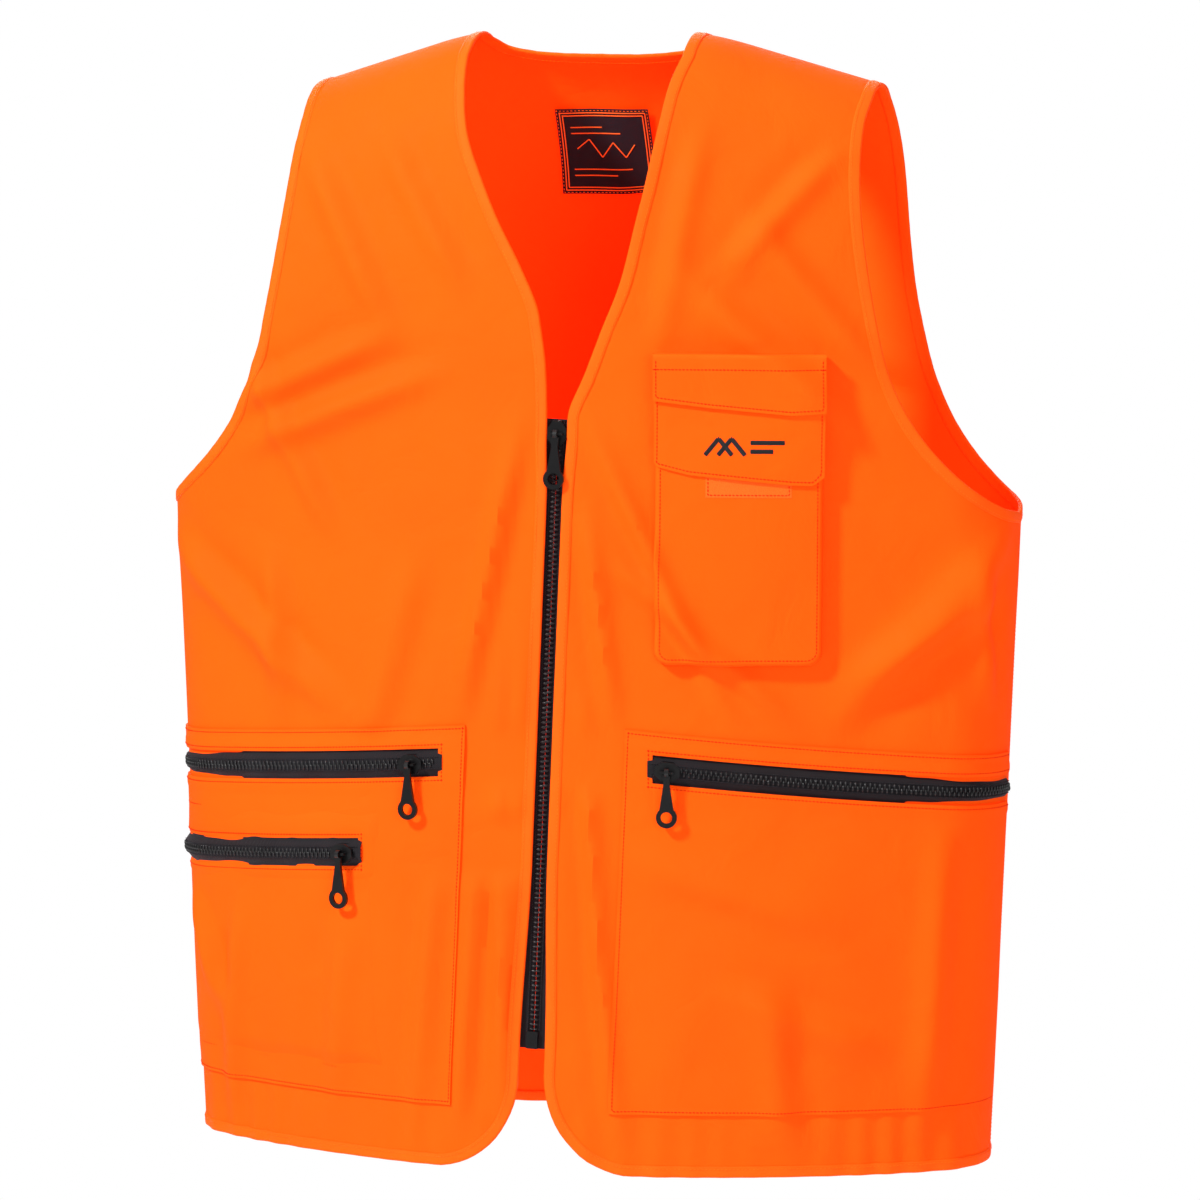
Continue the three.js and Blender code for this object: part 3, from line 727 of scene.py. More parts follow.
def mesh_object(name: str, points: Array, polys: Sequence[Sequence[int]], uv: Optional[Array] = None,
                angle: float = 50.0) -> bpy.types.Object:
    """Makes a smooth-shaded object from millimetre points.

    Args:
        name: the object's name.
        points: rows of x, y, z.
        polys: corner numbers of each face.
        uv: a map place for each point.
        angle: edges sharper than this stay sharp.

    Returns:
        The object, linked to the scene.
    """
    mesh = bpy.data.meshes.new(name)
    mesh.from_pydata((np.asarray(points) * MM).tolist(), [], [list(p) for p in polys])
    if uv is not None:
        layer = mesh.uv_layers.new(name="cloth")
        index = np.empty(len(mesh.loops), int)
        mesh.loops.foreach_get("vertex_index", index)
        layer.data.foreach_set("uv", np.asarray(uv)[index].ravel())
    mesh.shade_smooth()
    mesh.set_sharp_from_angle(angle=math.radians(angle))
    mesh.update()
    obj = bpy.data.objects.new(name, mesh)
    bpy.context.scene.collection.objects.link(obj)
    return obj


def coons(top: Path, bottom: Path, left: Path, right: Path, rows: int, cols: int) -> Array:
    """Fills the space between four lines with an even grid.

    Args:
        top: the upper line, towards the wearer's left.
        bottom: the lower line, the same way.
        left: the inner line, downwards.
        right: the outer line, downwards.
        rows: cells down.
        cols: cells across.

    Returns:
        rows + 1 by cols + 1 by 2 places.
    """
    u, w = np.linspace(0, 1, cols + 1), np.linspace(0, 1, rows + 1)
    return fill(spread(top, u), spread(bottom, u), spread(left, w), spread(right, w), u, w)


def under(row: Path, tail: Path, bottom: Path, left: Path, right: Path, rows: int = 190) -> Array:
    """A grid that hangs from a row of another grid, and so shares its places.

    Args:
        row: the places of the other grid's last row.
        tail: a line that carries the row on to the right, from its last place.
        bottom: the lower line.
        left: the inner line, downwards.
        right: the outer line, downwards.
        rows: cells down.

    Returns:
        The grid of places.
    """
    top = np.array(list(row) + resample(tail, 2.5)[1:])
    u = run_length(top)
    u, w = u / u[-1], np.linspace(0, 1, rows + 1)
    return fill(top, spread(bottom, u), spread(left, w), spread(right, w), u, w)


def spread(path: Path, share: Array) -> Array:
    """Places at given shares of a line, measured on the cloth.

    Args:
        path: the line.
        share: numbers from 0 at its start to 1 at its end.

    Returns:
        A place for each share.
    """
    p = np.array(path, float)
    q = np.stack([p[:, 0], cloth_length(p[:, 1])], -1)
    run = run_length(q)
    return np.stack([np.interp(share * run[-1], run, p[:, c]) for c in (0, 1)], -1)


def fill(top: Array, bottom: Array, left: Array, right: Array, u: Array, w: Array) -> Array:
    """Blends four lines of places into the grid between them.

    Args:
        top: places along the top.
        bottom: places along the bottom.
        left: places down the left.
        right: places down the right.
        u: each column's share of the width.
        w: each row's share of the depth.

    Returns:
        The grid of places.
    """
    a, b, c, d = top[None], bottom[None], left[:, None], right[:, None]
    u, w = u[None, :, None], w[:, None, None]
    corners = (1 - w) * ((1 - u) * a[:, :1] + u * a[:, -1:]) + w * ((1 - u) * b[:, :1] + u * b[:, -1:])
    return (1 - w) * a + w * b + (1 - u) * c + u * d - corners


def rectangle(t0: float, t1: float, v0: float, v1: float, rows: int, cols: int) -> Array:
    """An even grid over a rectangle.

    Args:
        t0: its inner side.
        t1: its outer side.
        v0: its bottom.
        v1: its top.
        rows: cells down.
        cols: cells across.

    Returns:
        The grid of places.
    """
    top, bottom = [(t0, v1), (t1, v1)], [(t0, v0), (t1, v0)]
    return coons(top, bottom, [top[0], bottom[0]], [top[1], bottom[1]], rows, cols)


# ---- finishes ----------------------------------------------------------------------------
@dataclass(frozen=True)
class Finish:
    """A procedural material; the name of the record slot it is meant for is kept but not used."""

    slot: str
    colour: tuple[float, float, float]
    roughness: float = 0.8
    sheen: float = 0.0
    sheen_tint: tuple[float, float, float] = (1.0, 0.6, 0.3)
    translucency: float = 0.0
    weave: float = 0.0
    weave_size: float = 0.0011
    grain: float = 0.0
    grain_scale: float = 400.0
    coat: float = 0.0
    variation: float = 0.06
    specular: float = 0.3
    # Strength of a painted glow: a constant red emission, light painted into the surface.
    glow: float = 0.0
    crumple: float = 0.0

    def make(self, name: str) -> bpy.types.Material:
        """Builds the node tree.

        Args:
            name: the material's name.

        Returns:
            The material.
        """
        mat = bpy.data.materials.new(name)
        mat.use_nodes = True
        tree = mat.node_tree
        nodes, link = tree.nodes, tree.links.new
        shader = nodes["Principled BSDF"]
        shader.inputs["Roughness"].default_value = self.roughness
        shader.inputs["Specular IOR Level"].default_value = self.specular
        shader.inputs["Sheen Weight"].default_value = self.sheen
        shader.inputs["Sheen Roughness"].default_value = 0.45
        shader.inputs["Sheen Tint"].default_value = (*self.sheen_tint, 1)
        shader.inputs["Coat Weight"].default_value = self.coat
        shader.inputs["Coat Roughness"].default_value = 0.15
        # Painted glow: a constant red emission stands in for the dye's fluorescence and keeps the cloth red
        # where shade falls.
        shader.inputs["Emission Color"].default_value = (1.0, 0.02, 0.0, 1)
        shader.inputs["Emission Strength"].default_value = self.glow
        coords = nodes.new("ShaderNodeTexCoord")

        def noise(scale: float, detail: float) -> bpy.types.Node:
            """Noise on the object's own coordinates, with the given scale and detail."""
            node = nodes.new("ShaderNodeTexNoise")
            node.inputs["Scale"].default_value = scale
            node.inputs["Detail"].default_value = detail
            link(coords.outputs["Object"], node.inputs["Vector"])
            return node

        tone = nodes.new("ShaderNodeMix")
        tone.data_type = "RGBA"
        vary = self.variation
        dark = tuple(max(c * (1 - vary * k), 0) for c, k in zip(self.colour, (1, 2.5, 2.5)))
        light = tuple(min(c * (1 + vary * k), 1) for c, k in zip(self.colour, (1, 2.0, 2.0)))
        tone.inputs[6].default_value = (*dark, 1)
        tone.inputs[7].default_value = (*light, 1)
        link(noise(9, 4).outputs["Fac"], tone.inputs["Factor"])
        link(tone.outputs[2], shader.inputs["Base Color"])

        heights: list[tuple[bpy.types.NodeSocket, float]] = []
        if self.weave:
            split = nodes.new("ShaderNodeSeparateXYZ")
            link(coords.outputs["UV"], split.inputs[0])
            waves = []
            for axis in ("X", "Y"):
                scale = nodes.new("ShaderNodeMath")
                scale.operation = "MULTIPLY"
                scale.inputs[1].default_value = 2 * math.pi / self.weave_size
                link(split.outputs[axis], scale.inputs[0])
                wave = nodes.new("ShaderNodeMath")
                wave.operation = "SINE"
                link(scale.outputs[0], wave.inputs[0])
                waves.append(wave)
            product = nodes.new("ShaderNodeMath")
            product.operation = "MULTIPLY"
            link(waves[0].outputs[0], product.inputs[0])
            link(waves[1].outputs[0], product.inputs[1])
            heights.append((product.outputs[0], self.weave))
        if self.grain:
            heights.append((noise(self.grain_scale, 5).outputs["Fac"], self.grain))
        if self.crumple:
            soft = noise(26, 5)
            soft.inputs["Distortion"].default_value = 0.8
            heights.append((soft.outputs["Fac"], self.crumple))
        normal: Optional[bpy.types.NodeSocket] = None
        for socket, depth in heights:
            bump = nodes.new("ShaderNodeBump")
            bump.inputs["Strength"].default_value = 1.0
            bump.inputs["Distance"].default_value = depth * MM
            link(socket, bump.inputs["Height"])
            if normal:
                link(normal, bump.inputs["Normal"])
            normal = bump.outputs["Normal"]
        if normal:
            link(normal, shader.inputs["Normal"])
        rough = nodes.new("ShaderNodeMapRange")
        rough.inputs["To Min"].default_value = max(self.roughness - 0.08, 0.02)
        rough.inputs["To Max"].default_value = min(self.roughness + 0.08, 1)
        link(noise(60, 3).outputs["Fac"], rough.inputs["Value"])
        link(rough.outputs["Result"], shader.inputs["Roughness"])
        if self.translucency:
            through = nodes.new("ShaderNodeBsdfTranslucent")
            link(tone.outputs[2], through.inputs["Color"])
            blend = nodes.new("ShaderNodeMixShader")
            blend.inputs["Fac"].default_value = self.translucency
            link(shader.outputs[0], blend.inputs[1])
            link(through.outputs[0], blend.inputs[2])
            link(blend.outputs[0], nodes["Material Output"].inputs["Surface"])
        return mat


ORANGE = (1.0, 0.118, 0.0018)
# Painted glow for the cloth, binding and hook patch. The thread, outline and label marks carry smaller
# painted glows of their own.
PAINTED_GLOW = 0.34
FINISHES: dict[str, Finish] = {
    "cloth": Finish("blaze_cloth", ORANGE, 0.75, translucency=0.12, weave=0.05, grain=0.05, grain_scale=700,
                    variation=0.05, specular=0.09, glow=PAINTED_GLOW, crumple=1.5),
    "binding": Finish("edge_binding", (1.0, 0.13, 0.0015), 0.6, translucency=0.08, weave=0.07,
                      weave_size=0.0008, grain=0.03, specular=0.12, glow=PAINTED_GLOW),
    "thread": Finish("edge_binding", (1.0, 0.17, 0.003), 0.6, specular=0.12, glow=0.3),
    # The outline thread is darker than the cloth. Part of that is the stitching's own darker tone, and part
    # is painted shade of the seam's pulled-in groove.
    "outline": Finish("edge_binding", (0.6, 0.018, 0.0003), 0.75, specular=0.08, glow=0.13),
    "tape": Finish("zip_tape", (0.0065, 0.005, 0.007), 0.85, sheen=0.18, sheen_tint=(0.5, 0.5, 0.6),
                   weave=0.16, weave_size=0.0013, variation=0.3),
    "teeth": Finish("zip_plastic", (0.003, 0.003, 0.004), 0.3, specular=0.5, coat=0.2, variation=0.3),
    "pull": Finish("pull_plastic", (0.0022, 0.002, 0.0025), 0.36, specular=0.35, coat=0.15, grain=0.03,
                   grain_scale=900, variation=0.3),
    "hook": Finish("hook_patch", (1.0, 0.13, 0.006), 0.95, glow=PAINTED_GLOW, sheen=0.1, grain=0.5, grain_scale=1100),
    "label": Finish("label_cloth", (0.005, 0.005, 0.012), 0.8, sheen=0.2, sheen_tint=(0.4, 0.5, 0.7),
                    weave=0.06, weave_size=0.0007, variation=0.2),
    "mark": Finish("zip_tape", (0.004, 0.0035, 0.005), 0.6, sheen=0.2, sheen_tint=(0.5, 0.5, 0.6)),
    "gold": Finish("label_cloth", (0.85, 0.2, 0.02), 0.6, sheen=0.1, glow=0.1, grain=0.05),
}
_MADE: dict[str, bpy.types.Material] = {}


def material(name: str) -> bpy.types.Material:
    """The material of a finish, made once.

    Args:
        name: a key of FINISHES.

    Returns:
        The material.
    """
    if name not in _MADE:
        _MADE[name] = FINISHES[name].make(name)
    return _MADE[name]


def dress(obj: bpy.types.Object, finish: str) -> bpy.types.Object:
    """Gives an object one finish.

    Args:
        obj: the object.
        finish: a key of FINISHES.

    Returns:
        The same object.
    """
    obj.data.materials.clear()
    obj.data.materials.append(material(finish))
    LOG.info("%s: %s", obj.name, finish)
    return obj


# ---- rows of small things, by geometry nodes ----------------------------------------------
@dataclass(frozen=True)
class Row:
    """A row of small solids set along a line at an even pitch."""

    pitch: float
    size: tuple[float, float, float]
    shift: tuple[float, float, float] = (0.0, 0.0, 0.0)
    start: float = 0.0
    rounded: int = 1
    jitter: float = 0.0
    seed: int = 7

    def lay(self, name: str, lines: Sequence[tuple[Array, Array]], finish: str) -> bpy.types.Object:
        """Sets the row along each line.

        Args:
            name: the new object's name.
            lines: for each line its points and the outward direction at each, in millimetres.
            finish: the finish of the solids.

        Returns:
            One plain mesh of all the solids.
        """
        points, edges, ups = [], [], []
        for line, up in lines:
            first = len(points)
            points += (np.asarray(line) * MM).tolist()
            ups += np.asarray(up).tolist()
            edges += [(first + i, first + i + 1) for i in range(len(line) - 1)]
        mesh = bpy.data.meshes.new(name + "_line")
        mesh.from_pydata(points, edges, [])
        attr = mesh.attributes.new("up", "FLOAT_VECTOR", "POINT")
        attr.data.foreach_set("vector", np.array(ups, float).ravel())
        holder = bpy.data.objects.new(name + "_line", mesh)
        bpy.context.scene.collection.objects.link(holder)
        mod = holder.modifiers.new("row", "NODES")
        mod.node_group = self._group(name, material(finish))
        depsgraph = bpy.context.evaluated_depsgraph_get()
        made = bpy.data.meshes.new_from_object(holder.evaluated_get(depsgraph), depsgraph=depsgraph)
        made.name = name
        holder.modifiers.clear()
        bpy.data.objects.remove(holder)
        obj = bpy.data.objects.new(name, made)
        bpy.context.scene.collection.objects.link(obj)
        made.shade_smooth()
        LOG.info("row %s: %d faces", name, len(made.polygons))
        return obj

    def _group(self, name: str, mat: bpy.types.Material) -> bpy.types.NodeTree:
        """The node group that sets the solids along the line.

        Args:
            name: the row's name.
            mat: the solids' material.

        Returns:
            The group.
        """
        tree = bpy.data.node_groups.new(name + "_row", "GeometryNodeTree")
        face = tree.interface
        face.new_socket("Line", in_out="INPUT", socket_type="NodeSocketGeometry")
        for title, value in (("Pitch", self.pitch * MM), ("Jitter", self.jitter)):
            socket = face.new_socket(title, in_out="INPUT", socket_type="NodeSocketFloat")
            socket.default_value = value
        size = face.new_socket("Size", in_out="INPUT", socket_type="NodeSocketVector")
        size.default_value = tuple(k * MM for k in self.size)
        seed = face.new_socket("Seed", in_out="INPUT", socket_type="NodeSocketInt")
        seed.default_value = self.seed
        face.new_socket("Solids", in_out="OUTPUT", socket_type="NodeSocketGeometry")
        new, link = tree.nodes.new, tree.links.new
        source, sink = new("NodeGroupInput"), new("NodeGroupOutput")
        curve = new("GeometryNodeMeshToCurve")
        link(source.outputs["Line"], curve.inputs[0])
        even = new("GeometryNodeResampleCurve")
        even.mode = "LENGTH"
        link(curve.outputs[0], even.inputs["Curve"])
        link(source.outputs["Pitch"], even.inputs["Length"])
        up = new("GeometryNodeInputNamedAttribute")
        up.data_type = "FLOAT_VECTOR"
        up.inputs["Name"].default_value = "up"
        tangent = new("GeometryNodeInputTangent")
        turn = new("FunctionNodeAxesToRotation")
        turn.primary_axis, turn.secondary_axis = "Z", "X"
        link(up.outputs[0], turn.inputs["Primary Axis"])
        link(tangent.outputs[0], turn.inputs["Secondary Axis"])
        cube = new("GeometryNodeMeshCube")
        link(source.outputs["Size"], cube.inputs["Size"])
        shape = cube.outputs[0]
        if self.rounded:
            soft = new("GeometryNodeSubdivisionSurface")
            soft.inputs["Level"].default_value = self.rounded
            link(shape, soft.inputs[0])
            shape = soft.outputs[0]
        moved = new("GeometryNodeTransform")
        moved.inputs["Translation"].default_value = tuple(k * MM for k in self.shift)
        link(shape, moved.inputs[0])
        wobble = new("FunctionNodeRandomValue")
        wobble.data_type = "FLOAT"
        link(source.outputs["Seed"], wobble.inputs["Seed"])
        vary = new("ShaderNodeMath")
        vary.operation = "MULTIPLY_ADD"
        link(wobble.outputs[1], vary.inputs[0])
        link(source.outputs["Jitter"], vary.inputs[1])
        vary.inputs[2].default_value = 1 - self.jitter / 2
        put = new("GeometryNodeInstanceOnPoints")
        link(even.outputs[0], put.inputs["Points"])
        link(moved.outputs[0], put.inputs["Instance"])
        link(turn.outputs[0], put.inputs["Rotation"])
        link(vary.outputs[0], put.inputs["Scale"])
        real = new("GeometryNodeRealizeInstances")
        link(put.outputs[0], real.inputs[0])
        paint = new("GeometryNodeSetMaterial")
        paint.inputs["Material"].default_value = mat
        link(real.outputs[0], paint.inputs[0])
        link(paint.outputs[0], sink.inputs[0])
        return tree


STITCH = Row(2.5, (1.9, 0.5, 0.42), rounded=1, jitter=0.15)
OUTLINE = Row(2.3, (2.1, 0.85, 0.5), rounded=1, jitter=0.15)


def seam(path: Path, height: Callable[[Array, Array], Array], face: Face, sign: float = 1.0,
         step: float = 2.0) -> tuple[Array, Array]:
    """A line on the cloth for a row of stitches.

    Args:
        path: places along the seam.
        height: height of the cloth's face there.
        face: the half of the body.
        sign: -1 mirrors the line to the wearer's right.
        step: spacing of the points.

    Returns:
        Points and outward directions.
    """
    tv = np.array(resample(path, step))
    t, v = tv[:, 0], tv[:, 1]
    points = TORSO.at(t, v, np.broadcast_to(height(t, v), t.shape), face)
    normals = TORSO.normals(t, v, face)
    flip = np.array([sign, 1, 1])
    return points * flip, normals * flip


# ---- pieces of cloth ---------------------------------------------------------------------
def bound_edge(name: str, path: Path, face: Face, lift: Callable[[Array, Array], Array],
               sign: float = 1.0) -> bpy.types.Object:
    """Bias tape folded over an edge, with slight puckers.

    Args:
        name: the piece's name.
        path: the finished edge; the tape lies to its left.
        face: the half of the body.
        lift: height of the folded cloth.
        sign: -1 mirrors the piece.

    Returns:
        The object.
    """
    run = run_length(np.array(path))
    angles = np.linspace(0, 2 * math.pi, 14, endpoint=False)
    offsets = BINDING * (0.5 - 0.5 * np.sign(np.cos(angles)) * np.abs(np.cos(angles)) ** 0.8)
    lines = {round(d, 4): np.array(beside(path, d)) for d in offsets}
    points, uv = [], []
    pucker = 0.22 * np.sin(run / 1.9) * np.sin(run / 7.3) + 0.2 * np.sin(run / 11)
    for a, d in zip(angles, offsets):
        tv = lines[round(d, 4)]
        top = 1.0 if math.sin(a) >= 0 else -1.0
        rise = 0.75 * abs(math.sin(a)) ** 0.55
        base = lift(tv[:, 0], tv[:, 1])
        n = base - 0.7 + top * (rise + 0.65 * (abs(math.sin(a)) > 1e-6)) + (pucker * 0.6 if top > 0 else 0)
        points.append(TORSO.at(tv[:, 0], tv[:, 1], n, face))
        uv.append(np.stack([run, np.full(len(run), a * 3)], -1))
    grid = np.array(points) * np.array([sign, 1, 1])
    around, along = grid.shape[:2]
    polys = []
    for i in range(around):
        for j in range(along - 1):
            a, b = i * along + j, (i + 1) % around * along + j
            polys.append((a, a + 1, b + 1, b))
    polys += [tuple(i * along for i in range(around)),
              tuple(i * along + along - 1 for i in reversed(range(around)))]
    if (face is Face.FRONT) != (sign < 0):
        polys = [tuple(reversed(p)) for p in polys]
    return mesh_object(name, grid.reshape(-1, 3), polys, np.array(uv).reshape(-1, 2) * MM, 70)


@dataclass
class FrontPanel:
    """One front of the vest with its bindings and their stitching."""

    hand: Hand

    def build(self, back: bpy.types.Object) -> bpy.types.Object:
        """Makes and dresses the panel and its edges.

        Args:
            back: the back panel, which the front hangs from at the shoulder.

        Returns:
            The panel.
        """
        word, s = self.hand.word, self.hand.value
        lift = lifted(Face.FRONT, self.hand)
        line = front_line(self.hand)
        sheet = self._sheet(beside(line, EDGE), beside(ARM_FRONT, -EDGE))
        panel = sheet.build(lift, lambda t, v: lift(t, v) - PANEL, s)
        self._finish(panel, "cloth", [f"front_{word}_upper", f"front_{word}_lower"])
        edge = bound_edge(f"front_edge_{word}", line, Face.FRONT, lift, s)
        self._finish(edge, "binding", [f"neck_binding_{word}", f"front_binding_{word}"])
        arm_up = list(reversed(ARM_FRONT))
        armhole = bound_edge(f"armhole_edge_{word}", arm_up, Face.FRONT, lift, s)
        self._finish(armhole, "binding", [f"armhole_binding_front_{word}", f"armhole_binding_lower_{word}"])
        height = lambda t, v: lift(t, v) + THREAD_RISE
        rows = [seam(beside(p, THREAD_INSET), height, Face.FRONT, s) for p in (line, arm_up)]
        stitches = STITCH.lay(f"front_stitches_{word}", rows, "thread")
        self._finish(stitches, "", [])
        sheet.declare(panel, Held.HUNG, [back], [edge, armhole, stitches])
        return panel

    def _sheet(self, inner: Path, arm: Path) -> Sheet:
        """The panel's cloth: a grid beside the neck, and one that widens below the armhole.

        Args:
            inner: the neck, front edge and hem, just inside the binding.
            arm: the armhole, just inside the binding.

        Returns:
            The sheet.
        """
        base, cut = TORSO.hem + EDGE, -200.0
        corner = min(range(len(inner)), key=lambda i: abs(inner[i][0] - 72) + abs(inner[i][1] - base))
        inner = inner[:corner + 1]
        side = side_seam(base)
        arm = arm[:-1] + [side[0]]
        (neck, front), (high, low) = split(inner, cut), split(arm, cut)
        front[-1] = (front[-1][0], base)
        sheet = Sheet(f"front_{self.hand.word}_cloth", Face.FRONT)
        upper = coons([neck[0], high[0]], [neck[-1], high[-1]], neck, high, 64, 40)
        sheet.add(upper)
        sheet.add(under([tuple(p) for p in upper[-1]], low, [front[-1], side[-1]], front, side))
        return sheet

    def _finish(self, obj: bpy.types.Object, finish: str, nodes: list[str]) -> None:
        """Dresses a piece, bakes its placement into its mesh and hides the solids it stands for.

        Args:
            obj: the piece.
            finish: its finish, or nothing if it has one.
            nodes: the solids.
        """
        if finish:
            dress(obj, finish)
        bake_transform(obj)
        if nodes:
            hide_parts(*nodes)


@dataclass
class Back:
    """The back panel, its bindings, its stitching and the label inside the neck."""

    def build(self) -> bpy.types.Object:
        """Makes and dresses every piece that stays with the shoulders.

        Returns:
            The back panel.
        """
        lift = lifted(Face.BACK)
        sheet = Sheet("back_panel_cloth", Face.BACK)
        for grid in self._half():
            sheet.add(grid)
            sheet.add(grid[:, ::-1] * np.array([-1, 1]))
        panel = sheet.build(lift, lambda t, v: lift(t, v) - PANEL)
        self._finish(panel, "cloth", ["back_panel"])

        half = back_neck()
        scoop = list(reversed([(-t, v) for t, v in reversed(half)] + half[1:]))
        neck = bound_edge("back_neck_edge", scoop, Face.BACK, lift)
        self._finish(neck, "binding", ["back_neck_binding"])
        ends = TORSO.quarter(TORSO.hem) - SEAM
        hem = resample([(-ends, TORSO.hem), (ends, TORSO.hem)], 4)
        hem_edge = bound_edge("back_hem_edge", hem, Face.BACK, lift)
        self._finish(hem_edge, "binding", ["back_hem_binding"])
        carries = [neck, hem_edge]
        up = lambda t, v: lift(t, v) + THREAD_RISE
        down = lambda t, v: lift(t, v) - CLOTH - 0.8
        flat = lambda t, v: lift(t, v) + 0.1
        lines = [seam(beside(p, THREAD_INSET), h, Face.BACK) for p in (scoop, hem) for h in (up, down)]
        path = list(reversed(ARM_BACK))
        side = [(TORSO.quarter(v) - 5, v) for v in np.linspace(-312, TORSO.hem + 10, 60)]
        for hand in Hand:
            edge = bound_edge(f"armhole_back_{hand.word}", path, Face.BACK, lift, hand.value)
            self._finish(edge, "binding", [f"armhole_binding_back_{hand.word}"])
            carries.append(edge)
            lines.append(seam(beside(path, THREAD_INSET), up, Face.BACK, hand.value))
            lines += [seam(p, flat, Face.BACK, hand.value) for p in (side, [(80, -12), (178, -12)])]
        stitches = STITCH.lay("back_stitches", lines, "thread")
        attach(stitches, "vest")
        sheet.declare(panel, Held.HUNG, (), [*carries, stitches])
        self._label(panel, lift)
        return panel

    @staticmethod
    def _half() -> list[Array]:
        """Three grids from the centre line to the wearer's left, sharing their edges."""
        base, yoke, seat = TORSO.hem + EDGE, -7.0, -200.0
        neck = list(reversed(beside(back_neck(), -EDGE)))
        side = side_seam(base)
        arm = beside(ARM_BACK, -EDGE)[:-1] + [side[0]]
        (inside, scoop), (outside, rest) = split(neck, yoke), split(arm, yoke)
        high, low = split(rest, seat)
        shoulder = coons([inside[0], outside[0]], [inside[-1], outside[-1]], inside, outside, 18, 30)
        scoop = list(reversed(scoop[1:]))
        scoop[0] = (0.0, scoop[0][1])
        top = resample(scoop, 4) + [tuple(p) for p in shoulder[-1]]
        blades = under(top, [top[-1], top[-1]], [(0.0, seat), high[-1]], [(0.0, top[0][1]), (0.0, seat)],
                       high)[:, :len(top)]
        seat_row = [tuple(p) for p in blades[-1]]
        seat_grid = under(seat_row, low, [(0.0, base), side[-1]], [(0.0, seat), (0.0, base)], side)
        return [shoulder, blades, seat_grid]

    def _label(self, panel: bpy.types.Object, lift: Callable[[Array, Array], Array]) -> None:
        """The woven label inside the neck, with plain bars and a zigzag in place of words.

        Args:
            panel: the back panel that it is sewn to.
            lift: height of the folded cloth.
        """
        sheet = Sheet("neck_label_cloth", Face.BACK)
        t0, t1, v0, v1 = -42.0, 20.0, -108.0, -52.0
        sheet.add(rectangle(t0, t1, v0, v1, 24, 26))
        curl = lambda t, v: 0.8 * smoothstep(-90, -108, v) + 0.3 * np.sin(t / 9)
        high = lambda t, v: lift(t, v) - CLOTH - 0.7 - curl(t, v)
        label = sheet.build(high, lambda t, v: high(t, v) - 0.5)
        dress(label, "label")
        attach(label, "vest")
        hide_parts("neck_label")
        face = lambda t, v: high(t, v) - 0.62
        corners = lambda a, b, c, d: [(a, d), (b, d), (b, c), (a, c), (a, d)]
        frame = lambda d: corners(t0 + d, t1 - d, v0 + d, v1 - d)
        bars = [frame(2.4), frame(4.2)]
        bars += [[(t0 + 9, v), (t1 - 9 - cut, v)] for v, cut in ((-64, 24), (-68, 12), (-92, 6), (-96, 16))]
        bars += [[(-30, -78), (-22, -72), (-14, -84), (-6, -74), (2, -84), (8, -76)]]
        weave = Row(0.8, (1.0, 0.75, 0.3), rounded=0)
        mark = weave.lay("label_marks", [seam(b, face, Face.BACK, 1.0, 0.8) for b in bars], "gold")
        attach(mark, "vest")
        line = seam(frame(0.9), lambda t, v: face(t, v) - 0.05, Face.BACK)
        held = STITCH.lay("label_stitches", [line], "thread")
        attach(held, "vest")
        sheet.declare(label, Held.STRETCHED, [panel], [mark, held])

    def _finish(self, obj: bpy.types.Object, finish: str, nodes: list[str]) -> None:
        """Dresses a piece, hangs it on its body and hides the solids it stands for.

        Args:
            obj: the piece.
            finish: its finish, or nothing if it has one.
            nodes: the solids.
        """
        dress(obj, finish)
        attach(obj, "vest")
        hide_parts(*nodes)


# ---- pockets -----------------------------------------------------------------------------
def slant(level: float, t: Array) -> Array:
    """A line that slants down towards the side seam, as a pocket's top and its zip do.

    Args:
        level: its level at the centre.
        t: distances round the body.

    Returns:
        Its level at each place.
    """
    t = np.abs(np.asarray(t, float))
    return level - TILT * TORSO.points(t, np.full(t.shape, level), Face.FRONT)[..., 0]


